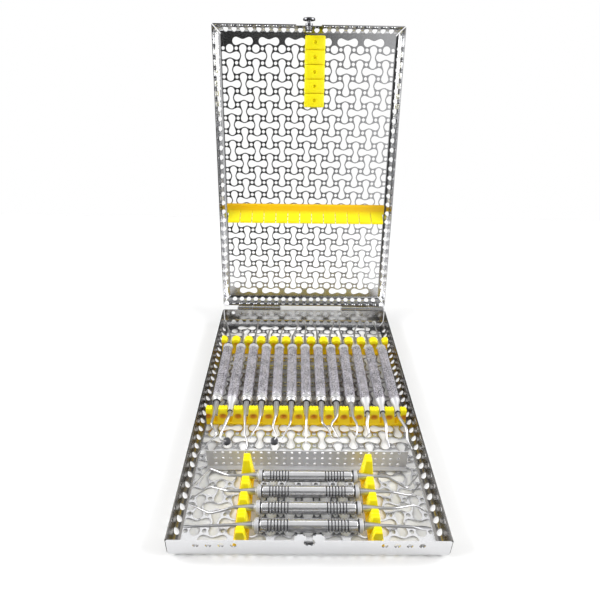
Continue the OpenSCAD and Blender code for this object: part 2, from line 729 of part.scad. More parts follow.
back_ends = [
    [[0, 15, 0], [-9, 49.5, -4], [-10, 59.5, -8]],
    [[0, 15, 0], [-1.8, 29.6, -4], [4.2, 45.7, -8]],
    [[0, 15, 0], [0.6, 41, -4], [-0.3, 59, -8]],
    [[0, 15, 0], [1.2, 34, -4], [7.4, 47.5, -8]],
    [[0, 15, 0], [1.4, 30.3, -4], [2.1, 44, -8]],
    [[0, 15, 0], [2.1, 26, -2.7], [6.6, 49, -5.5], [5, 58.5, -7.5]],
    [[0, 15, 0], [1.6, 41.9, -4], [-1.5, 59, -8]],
    [[0, 15, 0], [0.3, 32.9, -4], [-3.4, 55.3, -8]],
    [[0, 15, 0], [2.8, 31, -2.7], [7, 50, -4], [8.6, 56, -6], [6, 59, -8]],
    [[0, 15, 0], [-1, 30, -2], [0.5, 55.8, -8]],
    [[0, 15, 0], [2.9, 35.6, -4], [9.9, 59, -8]],
    [[0, 15, 0], [0.7, 29.7, -1], [3.3, 56.3, -8]],
    [[0, 15, 0], [0.4, 38.6, -4], [1.2, 59, -8]]
];
left_ends = [
    [[0, 14, 0], [0, 21, 0], [10, 36.8, -4], [-6, 49.5, -8]],
    [[0, 14, 0], [0, 20, 0], [7, 34, -4], [-2.3, 49.5, -8]],
    [[0, 14, 0], [-1, 17, 0], [-2, 30.6, -4], [9, 48.5, -8]],
    [[0, 14, 0], [0, 30, -1], [0, 47, -2]]
];
right_ends = [
    [[0, 14, 0], [0, 21, 0], [7.5, 35.6, -4], [-9, 48.5, -8]],
    [[0, 14, 0], [0, 22, 0], [0, 36.8, -4], [-15, 48.5, -8]],
    [[0, 14, 0], [0, 23, 0], [-6, 38.7, -4], [-1, 49.5, -8]],
    [[0, 14, 0], [0, 30, -1], [0, 46, -3]]
];
cone_l = 3;                          // cone between a handle's end and its shank
shank_sides = 8;

// Rings along a route: the shank bends at each point, so its ring there leans half-way.
// It keeps its diameter up to the second point, past the rail, and thins from there.
function route_rings(route, d) = [
    for (k = [0:len(route) - 1])
        let (
            before = k == 0 ? route[1] - route[0] : route[k] - route[k - 1],
            after = k == len(route) - 1 ? before : route[k + 1] - route[k],
            share = max(0, k - 1) / (len(route) - 2)
        )
        [route[k], unit(before) + unit(after), (d + (tip_d - d) * share) / 2]
];

// A working end along +Y from a handle's end at the origin
module working_end(route, d) {
    start = cone_l - joint_lap;
    swept_tube(route_rings(concat([[0, start, 0]], route), d), shank_sides);
}

module packer_disc(route) translate(route[len(route) - 1]) rotate([30, 0, 0])
    cylinder(d = disc_d, h = disc_t, center = true, $fn = hole_fn);

// A handle along Y: at each end a cone and a band, then grooves in the grip if it has them
first_groove = 7;                    // from the handle's end to its first groove
groove_w = 1;
groove_t = 0.5;

module handle(d, back, front, back_shank, front_shank, grooves = 0) {
    shank_lap = 0.1;
    grip_r = d / 2 - 0.4;
    band = 3;
    cone_d = 0.62 * d;
    length = back - front;
    translate([0, (front + back) / 2, 0]) rotate([-90, 0, 0]) rotate_extrude($fn = hole_fn)
        difference() {
            polygon([
                [0, -length / 2 - cone_l], [front_shank / 2 + shank_lap, -length / 2 - cone_l],
                [cone_d / 2, -length / 2], [d / 2, 1 - length / 2], [d / 2, band - length / 2],
                [grip_r, band + 1 - length / 2], [grip_r, length / 2 - band - 1],
                [d / 2, length / 2 - band], [d / 2, length / 2 - 1], [cone_d / 2, length / 2],
                [back_shank / 2 + shank_lap, length / 2 + cone_l], [0, length / 2 + cone_l]
            ]);
            for (k = [0:1:grooves - 1])
                for (side = [-1, 1])
                    translate([
                        grip_r - groove_t,
                        side * (length / 2 - first_groove - k * groove_pitch) - groove_w / 2
                    ])
                        square([groove_t + joint_lap, groove_w]);
        }
}

packers = [1, 4];

module long_instrument(k) color(satin)
    translate([cell_x(k + 1), 0, long_axis_z]) {
        front_route = [for (p = front_ends[k]) [-p[0], long_reach * p[1], p[2]]];
        back_route = [for (p = back_ends[k]) [p[0], long_reach * p[1], p[2]]];
        handle(long_handle_d, long_handle_back, long_handle_front, rear_shank_d, front_shank_d);
        translate([0, long_handle_front, 0]) rotate(180) {
            working_end(front_route, front_shank_d);
            if (len(search(k, packers)) > 0) packer_disc(front_route);
        }
        translate([0, long_handle_back, 0]) working_end(back_route, rear_shank_d);
    }

function cross_y(k) = cross_middle + ((cross_slots - 1) / 2 - k) * cross_pitch;

module cross_instrument(k) color(satin)
    translate([0, cross_y(k), cross_axis_z]) rotate(-90) {
        handle(cross_handle_d, cross_handle_half, -cross_handle_half,
            cross_shank_d, cross_shank_d, grip_grooves);
        translate([0, cross_handle_half, 0])
            working_end([for (p = right_ends[k]) [p[0], cross_reach * p[1], p[2]]], cross_shank_d);
        translate([0, -cross_handle_half, 0]) rotate(180)
            working_end([for (p = left_ends[k]) [p[0], cross_reach * p[1], p[2]]], cross_shank_d);
    }

module universal_curette() long_instrument(0);
module cord_packer() long_instrument(1);
module narrow_curette() long_instrument(2);
module sickle_scaler() long_instrument(3);
module wide_curette() long_instrument(4);
module hatchet_scaler() long_instrument(5);
module straight_probe() long_instrument(6);
module offset_curette() long_instrument(7);
module hook_explorer() long_instrument(8);
module hoe_scaler() long_instrument(9);
module angled_scaler() long_instrument(10);
module long_curette() long_instrument(11);
module side_curette() long_instrument(12);
module cross_explorer() cross_instrument(0);
module cross_probe() cross_instrument(1);
module cross_curette() cross_instrument(2);
module cement_spatula() cross_instrument(3);

tray_floor();
tray_wall_front();
tray_wall_back();
tray_wall_left();
tray_wall_right();
lid_panel();
lid_wall_front();
lid_wall_back();
lid_wall_left();
lid_wall_right();
rear_rail();
front_rail();
short_rail_left();
short_rail_right();
divider();
lid_cross_strip();
lid_short_strip();
tray_hinge_leaf_left();
tray_hinge_leaf_right();
lid_hinge_leaf_left();
lid_hinge_leaf_right();
hinge_pin_left();
hinge_pin_right();
latch_bracket();
latch_button();
latch_clip();
latch_spring();
universal_curette();
cord_packer();
narrow_curette();
sickle_scaler();
wide_curette();
hatchet_scaler();
straight_probe();
offset_curette();
hook_explorer();
hoe_scaler();
angled_scaler();
long_curette();
side_curette();
cross_explorer();
cross_probe();
cross_curette();
cement_spatula();
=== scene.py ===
import math

import bmesh
import bpy
from mathutils import Euler, Matrix, Vector


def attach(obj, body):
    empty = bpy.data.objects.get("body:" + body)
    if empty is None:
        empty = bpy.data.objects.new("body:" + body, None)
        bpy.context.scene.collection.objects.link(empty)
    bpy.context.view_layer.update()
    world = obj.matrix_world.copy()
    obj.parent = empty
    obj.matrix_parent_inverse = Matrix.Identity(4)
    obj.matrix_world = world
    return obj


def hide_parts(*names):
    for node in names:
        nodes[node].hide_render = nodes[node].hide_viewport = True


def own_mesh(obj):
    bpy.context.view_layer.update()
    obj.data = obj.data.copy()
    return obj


# the frame: every CAD node in place, in metres
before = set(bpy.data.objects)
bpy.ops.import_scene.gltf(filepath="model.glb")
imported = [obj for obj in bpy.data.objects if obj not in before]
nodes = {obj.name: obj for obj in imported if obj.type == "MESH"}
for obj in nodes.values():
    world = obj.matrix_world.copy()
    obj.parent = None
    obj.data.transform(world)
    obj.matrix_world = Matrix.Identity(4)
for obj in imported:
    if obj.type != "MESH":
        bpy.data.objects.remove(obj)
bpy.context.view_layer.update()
print("frame loaded with", len(nodes), "nodes")

mm = 0.001
pitch = 13.15
rightAngle = math.radians(90.0)

# the perforated sheet, with one cell of its pattern to each pitch
sheet = {
    "Pitch": pitch * mm, "Lobe Radius": 3.75 * mm, "Ring Radius": 4.75 * mm,
    "Small Radius": 1.7 * mm, "Columns": 13, "Rows": 21,
    "Width": 175.0 * mm, "Depth": 276.0 * mm, "Margin": 0.5 * mm, "Thickness": 0.8 * mm,
}


# a method of Wire that adds a math node
def mathOperator(operation, swapped=False):
    def apply(self, other):
        return self.graph.calc(operation, *((other, self) if swapped else (self, other)))
    return apply


# a node socket that adds, multiplies and compares like a number
class Wire:
    def __init__(self, graph, socket):
        self.graph = graph
        self.socket = socket

    def calc(self, operation, *others):
        return self.graph.calc(operation, self, *others)

    __add__ = mathOperator("ADD")
    __radd__ = mathOperator("ADD", True)
    __sub__ = mathOperator("SUBTRACT")
    __rsub__ = mathOperator("SUBTRACT", True)
    __mul__ = mathOperator("MULTIPLY")
    __rmul__ = mathOperator("MULTIPLY", True)
    __truediv__ = mathOperator("DIVIDE")
    __gt__ = mathOperator("GREATER_THAN")
    __lt__ = mathOperator("LESS_THAN")


# adds nodes to a tree: settings first, then values or links for the inputs
class Graph:
    def __init__(self, tree):
        self.tree = tree

    def add(self, kind, settings=None, inputs=None, out=0):
        node = self.tree.nodes.new(kind)
        for name, value in (settings or {}).items():
            setattr(node, name, value)
        for key, value in (inputs or {}).items():
            several = value if isinstance(value, list) else [value]
            for item in several:
                if isinstance(item, Wire):
                    self.tree.links.new(item.socket, node.inputs[key])
                else:
                    node.inputs[key].default_value = item
        if len(node.outputs) == 0:
            return node
        return Wire(self, node.outputs[out])

    def calc(self, operation, *terms):
        return self.add("ShaderNodeMath", {"operation": operation}, dict(enumerate(terms)))

    def pick(self, wire, out):
        return Wire(self, wire.socket.node.outputs[out])

    # one of two numbers, by a wire that is 0 or 1
    def choose(self, switch, whenOff, whenOn):
        return whenOff + (whenOn - whenOff) * switch

    def mix(self, share, first, second):
        return self.add("ShaderNodeMix", {"data_type": "RGBA"}, {
            "Factor": share, 6: first, 7: second,
        }, 2)

    def ramp(self, value, low, high):
        return self.add("ShaderNodeMapRange", {"interpolation_type": "SMOOTHSTEP"}, {
            "Value": value, "From Min": low, "From Max": high,
        })

    def noise(self, place, scale, detail):
        return self.add("ShaderNodeTexNoise", {}, {
            "Vector": place, "Scale": scale, "Detail": detail,
        }, "Fac")

    def bump(self, strength, distance, height):
        return self.add("ShaderNodeBump", {}, {
            "Strength": strength, "Distance": distance, "Height": height,
        })

    def vector(self, **parts):
        return self.add("ShaderNodeCombineXYZ", {}, parts)

    def spread(self, points, instance, **more):
        return self.add("GeometryNodeInstanceOnPoints", {}, {
            "Points": points, "Instance": instance, **more,
        })

    def grid(self, width, depth, columns, rows):
        return self.add("GeometryNodeMeshGrid", {}, {
            "Size X": width, "Size Y": depth, "Vertices X": columns, "Vertices Y": rows,
        })

    def ring(self, points, radius):
        return self.add("GeometryNodeCurvePrimitiveCircle", {"mode": "RADIUS"}, {
            "Resolution": points, "Radius": radius,
        })

    def joined(self, *parts):
        return self.add("GeometryNodeJoinGeometry", {}, {"Geometry": list(parts)})


def colour(*rgb):
    return (*rgb, 1.0)


# finishes

finishes = {}


def startFinish(name):
    material = bpy.data.materials.new(name)
    material.use_nodes = True
    material.node_tree.nodes.clear()
    finishes[name] = material
    return Graph(material.node_tree)


def endFinish(graph, shader):
    graph.add("ShaderNodeOutputMaterial", {}, {"Surface": shader})


# steel with a cloudy tint and a fine grain; a painted shade darkens it towards a low height
def steelFinish(name, settings):
    graph = startFinish(name)
    place = graph.add("ShaderNodeTexCoord", {}, {}, "Object")
    cloud = graph.noise(place, settings["cloudScale"], 3.0)
    grain = graph.noise(place, settings["grainScale"], 2.0)
    tint = graph.mix(cloud, settings["dark"], settings["light"])
    # painted shade: below the given height the colour goes to a dark tint, as if the lower side
    # lay in shade
    if "paintedShade" in settings:
        paintedShade = settings["paintedShade"]
        height = graph.pick(graph.add("ShaderNodeSeparateXYZ", {}, {"Vector": place}), "Z")
        tint = graph.mix(graph.ramp(height, paintedShade["low"], paintedShade["high"]), paintedShade["tint"], tint)
    endFinish(graph, graph.add("ShaderNodeBsdfPrincipled", {}, {
        "Base Color": tint, "Metallic": settings["metallic"],
        "Roughness": settings["roughness"] + (grain - 0.5) * settings["roughnessSpread"],
        "Normal": graph.bump(settings["bump"], 0.00005, grain),
    }))


# a grip: pale steel with fine pits painted dark, as painted shade in the knurl's grooves
def knurledFinish(name, settings):
    graph = startFinish(name)
    place = graph.add("ShaderNodeTexCoord", {}, {}, "Object")
    cloud = graph.noise(place, settings["cloudScale"], 2.0)
    grain = graph.noise(place, settings["grainScale"], 1.0)
    # the pits' dark colour is painted shade
    pits = graph.ramp(grain + (cloud - 0.5) * settings["patchy"],
                      settings["pitTo"], settings["pitFrom"])
    endFinish(graph, graph.add("ShaderNodeBsdfPrincipled", {}, {
        "Base Color": graph.mix(pits, settings["light"], settings["dark"]),
        "Metallic": settings["metallic"],
        "Roughness": settings["roughness"] + pits * settings["pitRoughness"],
        "Normal": graph.bump(settings["bump"], 0.00015, grain),
    }))


sheetForm = {
    "metallic": 1.0, "cloudScale": 18.0, "grainScale": 900.0,
    "roughness": 0.2, "roughnessSpread": 0.12, "bump": 0.25,
}
steelFinish("sheetSteel", {
    **sheetForm, "dark": colour(0.6, 0.605, 0.62), "light": colour(0.68, 0.68, 0.69),
})
steelFinish("polishedSteel", {
    "metallic": 0.85, "cloudScale": 60.0, "grainScale": 1500.0,
    "dark": colour(0.5, 0.5, 0.52), "light": colour(0.6, 0.6, 0.61),
    "roughness": 0.3, "roughnessSpread": 0.08, "bump": 0.05,
})
knurledFinish("knurledSteel", {
    "metallic": 0.55, "cloudScale": 120.0, "grainScale": 1100.0, "patchy": 0.3,
    "pitFrom": 0.4, "pitTo": 0.52, "pitRoughness": 0.2,
    "dark": colour(0.12, 0.115, 0.13), "light": colour(0.64, 0.62, 0.67),
    "roughness": 0.4, "bump": 0.6,
})
steelFinish("turnedSteel", {
    "metallic": 0.45, "cloudScale": 90.0, "grainScale": 900.0,
    "dark": colour(0.6, 0.6, 0.62), "light": colour(0.7, 0.7, 0.72),
    "roughness": 0.42, "roughnessSpread": 0.1, "bump": 0.2,
})
steelFinish("barSteel", {
    "metallic": 0.85, "cloudScale": 90.0, "grainScale": 900.0,
    "dark": colour(0.8, 0.8, 0.82), "light": colour(0.92, 0.92, 0.93),
    "roughness": 0.24, "roughnessSpread": 0.08, "bump": 0.1,
    # painted shade on the lower half of the cross handles' bars
    "paintedShade": {"low": 0.0105, "high": 0.0165, "tint": colour(0.12, 0.12, 0.13)},
})
# painted shade: the lid's sheet is the same steel as the tray floor, painted darker for the dark
# surroundings it reflects
steelFinish("shadedLidSteel", {
    **sheetForm, "dark": colour(0.42, 0.42, 0.435), "light": colour(0.5, 0.5, 0.51),
})
steelFinish("darkSteel", {
    "metallic": 1.0, "cloudScale": 60.0, "grainScale": 900.0,
    "dark": colour(0.12, 0.12, 0.13), "light": colour(0.2, 0.2, 0.21),
    "roughness": 0.3, "roughnessSpread": 0.1, "bump": 0.15,
})
# painted dark reflection: the side walls are the same sheet steel, painted darker for the dark
# tray inside that their faces reflect
steelFinish("shadedWallSteel", {
    **sheetForm, "dark": colour(0.24, 0.23, 0.22), "light": colour(0.32, 0.31, 0.3),
    "roughness": 0.24,
})


# yellow silicone with painted light and shade: a painted highlight makes it brighter at the top,
# painted shade makes it deeper at the foot, painted shade darkens it where a post has its dimple,
# and it has a painted glow
def siliconeFinish(name, settings):
    graph = startFinish(name)
    place = graph.add("ShaderNodeTexCoord", {}, {}, "Object")
    across = graph.add("ShaderNodeSeparateXYZ", {}, {"Vector": place}, "X")
    height = graph.pick(across, "Z")
    # painted light and shade: the foot colour below, the top colour above
    paintedLightShare = graph.ramp(height, settings["low"], settings["high"])
    tint = graph.mix(paintedLightShare, settings["foot"], settings["top"])
    # painted shade in the dimple's hollow: darker round each post's dimple
    if "dimple" in settings:
        dimple = settings["dimple"]
        step = across / (pitch * mm) + 0.5 * (sheet["Columns"] % 2)
        aside = (step - step.calc("ROUND")) * (pitch / dimple["wide"])
        above = (height - dimple["height"] * mm) / (dimple["tall"] * mm)
        tint = graph.mix(graph.ramp(aside * aside + above * above, 1.8, 0.1),
                         tint, dimple["tint"])
    grain = graph.noise(place, 1400.0, 2.0)
    endFinish(graph, graph.add("ShaderNodeBsdfPrincipled", {}, {
        "Base Color": tint, "Roughness": 0.42, "Specular IOR Level": 0.4,
        "Subsurface Weight": 0.15, "Subsurface Scale": 0.0012,
        "Subsurface Radius": (1.0, 0.6, 0.1), "Normal": graph.bump(0.15, 0.00005, grain),
        # emission: a painted glow in the silicone's own colour, standing in for light passing
        # through it
        "Emission Color": tint, "Emission Strength": settings["glow"],
    }))


# the foot and top colours below are painted shade and painted light; glow is a painted glow
siliconeFinish("rearSilicone", {
    "glow": 0.12, "low": 0.004, "high": 0.017,
    "foot": colour(0.85, 0.55, 0.002), "top": colour(0.88, 0.74, 0.004),
    "dimple": {"wide": 2.1, "tall": 1.9, "height": 13.3, "tint": colour(0.85, 0.42, 0.002)},
})
siliconeFinish("frontSilicone", {
    "glow": 0.2, "low": 0.008, "high": 0.0165,
    "foot": colour(0.8, 0.55, 0.002), "top": colour(0.88, 0.76, 0.005),
    "dimple": {"wide": 3.3, "tall": 2.5, "height": 9.8, "tint": colour(0.55, 0.2, 0.001)},
})
siliconeFinish("shortSilicone", {
    "glow": 0.12, "low": 0.002, "high": 0.014,
    "foot": colour(0.78, 0.47, 0.002), "top": colour(0.88, 0.76, 0.005),
})
# painted light and shade on the lid's cross strip: its fingers bright below, its base painted in
# orange shade above
siliconeFinish("stripSilicone", {
    "glow": 0.0, "low": 0.121, "high": 0.127,
    "foot": colour(1.0, 0.86, 0.004), "top": colour(1.0, 0.6, 0.002),
})
siliconeFinish("blockSilicone", {
    "glow": 0.0, "low": 0.0, "high": 0.1,
    "foot": colour(1.0, 0.87, 0.005), "top": colour(1.0, 0.87, 0.005),
})


def plainFinish(name, tint, roughness):
    graph = startFinish(name)
    endFinish(graph, graph.add("ShaderNodeBsdfPrincipled", {}, {
        "Base Color": tint, "Roughness": roughness,
    }))


plainFinish("blackRubber", colour(0.012, 0.012, 0.014), 0.45)
plainFinish("paleFloor", colour(0.9, 0.9, 0.9), 0.6)
print("finishes made:", ", ".join(finishes))

cadFinishes = {
    "sheet_steel": "sheetSteel", "satin_steel": "turnedSteel", "silicone": "shortSilicone",
}
nodeFinishes = {"latch_button": "darkSteel", "divider": "turnedSteel",
                "tray_wall_left": "shadedWallSteel", "tray_wall_right": "shadedWallSteel"}
for name, cadNode in nodes.items():
    for slot in cadNode.material_slots:
        usual = cadFinishes[slot.material.name.split(".")[0]]
        slot.material = finishes[nodeFinishes.get(name, usual)]


# helpers for meshes

def newObject(name, data):
    made = bpy.data.objects.new(name, data)
    bpy.context.scene.collection.objects.link(made)
    return made


def addPiece(name, mesh, body, replaced):
    piece = newObject(name, mesh)
    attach(piece, body)
    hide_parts(*replaced)
    return piece


def meshFromBm(name, bm):
    mesh = bpy.data.meshes.new(name)
    bm.to_mesh(mesh)
    bm.free()
    return mesh


# smooth shading that keeps creases: edges steeper than the angle stay sharp
def shadeByAngle(mesh, degrees=35.0):
    mesh.shade_smooth()
    mesh.set_sharp_from_angle(angle=math.radians(degrees))


# runs a piece's modifiers once and keeps the plain mesh
def bakePiece(piece):
    bpy.context.view_layer.update()
    evaluated = piece.evaluated_get(bpy.context.evaluated_depsgraph_get())
    mesh = bpy.data.meshes.new_from_object(evaluated)
    piece.modifiers.clear()
    oldMesh = piece.data
    piece.data = mesh
    bpy.data.meshes.remove(oldMesh)
    return mesh


def meshFromNodes(name, group, values, source=None):
    base = source or bpy.data.meshes.new(name + "Seed")
    worker = newObject(name + "Worker", base)
    modifier = worker.modifiers.new("nodes", "NODES")
    modifier.node_group = group
    for item in group.interface.items_tree:
        if item.in_out == "INPUT" and item.name in values:
            modifier[item.identifier] = values[item.name]
    mesh = bakePiece(worker)
    mesh.name = name
    bpy.data.objects.remove(worker)
    return mesh


def newGroup(name, inputs):
    group = bpy.data.node_groups.new(name, "GeometryNodeTree")
    group.interface.new_socket(name="Geometry", in_out="OUTPUT", socket_type="NodeSocketGeometry")
    kinds = {float: "NodeSocketFloat", int: "NodeSocketInt", tuple: "NodeSocketVector"}
    for key, value in inputs.items():
        kind = kinds.get(type(value), "NodeSocket" + str(value))
        socket = group.interface.new_socket(name=key, in_out="INPUT", socket_type=kind)
        if kind in kinds.values():
            socket.default_value = value
    graph = Graph(group)
    start = group.nodes.new("NodeGroupInput")
    given = {out.name: Wire(graph, out) for out in start.outputs if out.name}
    return group, graph, given


def finishGroup(graph, geometry, material):
    real = graph.add("GeometryNodeRealizeInstances", {}, {"Geometry": geometry})
    painted = graph.add("GeometryNodeSetMaterial", {}, {"Geometry": real, "Material": material})
    graph.add("NodeGroupOutput", {}, {0: painted})


# perforated sheet

def buildSheetNodes():
    group, graph, given = newGroup("perforatedSheet", {**sheet, "Material": "Material"})
    step = given["Pitch"]
    arm = step / 2.0
    lobe = given["Lobe Radius"]
    ring = given["Ring Radius"]
    # outline of a double hole: points by index, a quarter at a time, lobe before neck
    lobeSteps, neckSteps = 8, 3
    quarterSteps = lobeSteps + neckSteps + 1
    outline = graph.ring(4 * quarterSteps, 1.0)
    index = graph.add("GeometryNodeInputIndex")
    quarter = (index / quarterSteps).calc("FLOOR")
    along = index - quarter * quarterSteps
    turned = quarter.calc("MODULO", 2.0)
    count = graph.choose(turned, along, quarterSteps - along)
    bend = ((lobe + ring) / (arm * math.sqrt(2.0))).calc("ARCCOSINE")
    lobeAngle = (math.radians(135.0) - bend) * count / lobeSteps
    neckAngle = (math.radians(45.0) - bend) * (quarterSteps - count) / neckSteps
    onNeck = count > lobeSteps + 0.5
    outX = graph.choose(onNeck, arm + lobe * lobeAngle.calc("COSINE"),
                        ring * neckAngle.calc("SINE"))
    outY = graph.choose(onNeck, lobe * lobeAngle.calc("SINE"),
                        arm - ring * neckAngle.calc("COSINE"))
    flipX = 1.0 - 2.0 * (quarter > 0.5) * (quarter < 2.5)
    flipY = 1.0 - 2.0 * (quarter > 1.5)
    double = graph.add("GeometryNodeSetPosition", {}, {
        "Geometry": outline, "Position": graph.vector(X=outX * flipX, Y=outY * flipY),
    })
    lobeRing = graph.ring(32, lobe)
    smallRing = graph.ring(20, given["Small Radius"])
    columns = given["Columns"]
    rows = given["Rows"]
    cells = graph.grid(step * (columns - 1.0), step * (rows - 1.0), columns, rows)
    position = graph.add("GeometryNodeInputPosition")
    spotX = graph.add("ShaderNodeSeparateXYZ", {}, {"Vector": position}, "X")
    spotY = graph.pick(spotX, "Y")
    cellX = (spotX / step).calc("ROUND")
    cellY = (spotY / step).calc("ROUND")
    upright = 1.0 - (cellX - cellY).calc("ABSOLUTE").calc("MODULO", 2.0)
    endRow = cellY.calc("ABSOLUTE") > (rows - 1.0) / 2.0 - 0.5
    doubles = graph.spread(cells, double, Selection=(endRow * upright) < 0.5,
                           Rotation=graph.vector(Z=upright * rightAngle))
    # the end rows hold only the inner half of an upright hole
    halves = graph.spread(cells, lobeRing, Selection=(endRow * upright) > 0.5)
    ends = graph.add("GeometryNodeTranslateInstances", {}, {
        "Instances": halves, "Translation": graph.vector(Y=-1.0 * spotY.calc("SIGN") * arm),
        "Local Space": False,
    })
    # lobes cut off by the bend, between the side columns' lying holes
    sides = graph.grid(step * columns, step * (rows - 5.0), 2, (rows - 3.0) / 2.0)
    sideLobes = graph.spread(sides, lobeRing)
    corners = graph.grid(step * columns, step * (rows - 2.0), columns + 1.0, rows - 1.0)
    smalls = graph.spread(corners, smallRing)
    holes = graph.add("GeometryNodeRealizeInstances", {}, {
        "Geometry": graph.joined(doubles, ends, sideLobes, smalls),
    })
    edge = given["Width"] / 2.0 - given["Margin"]
    kept = graph.vector(X=spotX.calc("MINIMUM", edge).calc("MAXIMUM", -1.0 * edge), Y=spotY)
    holes = graph.add("GeometryNodeSetPosition", {}, {"Geometry": holes, "Position": kept})
    border = graph.add("GeometryNodeCurvePrimitiveQuadrilateral", {}, {
        "Width": given["Width"], "Height": given["Depth"],
    })
    faces = graph.add("GeometryNodeFillCurve", {"mode": "TRIANGLES"}, {
        "Curve": graph.joined(holes, border),
    })
    solid = graph.add("GeometryNodeExtrudeMesh", {"mode": "FACES"}, {
        "Mesh": faces, "Offset": graph.vector(Z=1.0), "Offset Scale": given["Thickness"],
        "Individual": False,
    })
    under = graph.add("GeometryNodeFlipFaces", {}, {"Mesh": faces})
    whole = graph.add("GeometryNodeMergeByDistance", {}, {
        "Geometry": graph.joined(solid, under), "Distance": 0.00002,
    })
    finishGroup(graph, whole, given["Material"])
    return group


sheetMesh = meshFromNodes("perforatedSheetMesh", buildSheetNodes(), {
    **sheet, "Material": finishes["sheetSteel"],
})
print("perforated sheet:", len(sheetMesh.polygons), "faces")

# where the lid is: its closed place, turned over and opened about the hinge
hinge = {"y": 146.8, "z": 18.6, "open": 100.0, "closedHeight": 37.2}
openAngle = math.radians(hinge["open"])
hingePoint = Vector((0.0, hinge["y"], hinge["z"])) * mm
openLid = (Matrix.Translation(hingePoint)
           @ Matrix.Rotation(-openAngle, 4, "X")
           @ Matrix.Translation(-hingePoint))
asLid = (openLid @ Matrix.Translation((0.0, 0.0, hinge["closedHeight"] * mm))
         @ Matrix.Scale(-1.0, 4, (0.0, 0.0, 1.0)))


def placed(mesh, matrix, name):
    copy = mesh.copy()
    copy.name = name
    copy.transform(matrix)
    if matrix.determinant() < 0.0:
        copy.flip_normals()
    return copy


def shifted(x, y, z):
    return Matrix.Translation((x * mm, y * mm, z * mm))


addPiece("trayPerforatedFloor", sheetMesh, "tray", ["tray_floor"])
lidSheetMesh = placed(sheetMesh, asLid, "lidSheetMesh")
# the lid's sheet takes the darker copy of the steel, its painted shade
lidSheetMesh.materials[0] = finishes["shadedLidSteel"]
addPiece("lidPerforatedPanel", lidSheetMesh, "lid", ["lid_panel"])
print("perforated floor and lid panel placed")

# silicone rails and strips

# an outline in XZ made solid along Y, with rounded edges on both faces
def roundedSolid(name, points, depth, radius, steps=3):
    count = len(points)
    corners = [Vector(point) for point in points]
    inward = []
    for k in range(count):
        before = (corners[k] - corners[k - 1]).normalized()
        after = (corners[(k + 1) % count] - corners[k]).normalized()
        lean = Vector((-(before.y + after.y), before.x + after.x))
        inward.append(lean.normalized() / max(0.5, (1.0 + before.dot(after)) / 2.0) ** 0.5)
    bm = bmesh.new()
    rings = []
    for side in (-1.0, 1.0):
        turns = range(steps + 1) if side < 0.0 else range(steps, -1, -1)
        for k in turns:
            angle = rightAngle * k / steps
            inset = radius * (1.0 - math.sin(angle))
            y = side * (depth / 2.0 - radius + radius * math.cos(angle))
            rings.append([
                bm.verts.new(((c.x + i.x * inset) * mm, y * mm, (c.y + i.y * inset) * mm))
                for c, i in zip(corners, inward)])
    for first, second in zip(rings, rings[1:]):
        for k in range(count):
            n = (k + 1) % count
            bm.faces.new((first[k], second[k], second[n], first[n]))
    bm.faces.new(rings[0])
    bm.faces.new(list(reversed(rings[-1])))
    bmesh.ops.recalc_face_normals(bm, faces=bm.faces)
    return meshFromBm(name, bm)


def arcPoints(x, z, radius, start, end, count):
    return [(x + radius * math.cos(math.radians(start + (end - start) * k / count)),
             z + radius * math.sin(math.radians(start + (end - start) * k / count)))
            for k in range(count + 1)]


# hollows out a mesh with ball-shaped cutters: place, radii
def dimpled(mesh, dimples):
    cutterBm = bmesh.new()
    for place, radii in dimples:
        ball = bmesh.ops.create_icosphere(cutterBm, subdivisions=3, radius=1.0)
        bmesh.ops.scale(cutterBm, verts=ball["verts"], vec=[r * mm for r in radii])
        bmesh.ops.translate(cutterBm, verts=ball["verts"], vec=[c * mm for c in place])
    cutter = newObject("cutter", meshFromBm("cutterMesh", cutterBm))
    worker = newObject("worker", mesh)
    modifier = worker.modifiers.new("hollow", "BOOLEAN")
    modifier.operation = "DIFFERENCE"
    modifier.solver = "EXACT"
    modifier.object = cutter
    result = bakePiece(worker)
    bpy.data.objects.remove(worker)
    bpy.data.objects.remove(cutter)
    return result


# repeats the mesh that it is given, in one line
def buildRepeatNodes():
    group, graph, given = newGroup("repeatInLine", {
        "Piece": "Geometry", "Count": 2, "First": (0.0, 0.0, 0.0), "Step": (0.01, 0.0, 0.0),
        "Material": "Material",
    })
    spots = graph.add("GeometryNodeMeshLine", {"mode": "OFFSET"}, {
        "Count": given["Count"], "Start Location": given["First"], "Offset": given["Step"],
    })
    copies = graph.add("GeometryNodeInstanceOnPoints", {}, {
        "Points": spots, "Instance": given["Piece"],
    })
    finishGroup(graph, copies, given["Material"])
    return group


repeatNodes = buildRepeatNodes()


def inLine(name, mesh, count, first, step, finish):
    return meshFromNodes(name, repeatNodes, {
        "Count": count, "First": [c * mm for c in first], "Step": [c * mm for c in step],
        "Material": finishes[finish],
    }, mesh)


# joins meshes into one, cuts it off at its right and left end and closes the cuts
def joinedMesh(name, meshes, finish, ends=()):
    bm = bmesh.new()
    for part in meshes:
        bm.from_mesh(part)
    for x, outward in zip(ends, (1.0, -1.0)):
        cut = bmesh.ops.bisect_plane(
            bm, geom=list(bm.verts) + list(bm.edges) + list(bm.faces), dist=1e-7,
            plane_co=(x * mm, 0.0, 0.0), plane_no=(outward, 0.0, 0.0), clear_outer=True)
        edges = [g for g in cut["geom_cut"] if isinstance(g, bmesh.types.BMEdge)]
        bmesh.ops.contextual_create(bm, geom=edges)
    bmesh.ops.remove_doubles(bm, verts=bm.verts, dist=1e-6)
    bmesh.ops.recalc_face_normals(bm, faces=bm.faces)
    mesh = meshFromBm(name, bm)
    mesh.materials.clear()
    mesh.materials.append(finishes[finish])
    return mesh


floorTop = 0.8
linesAcross = [(i - 6.5) * pitch for i in range(14)]


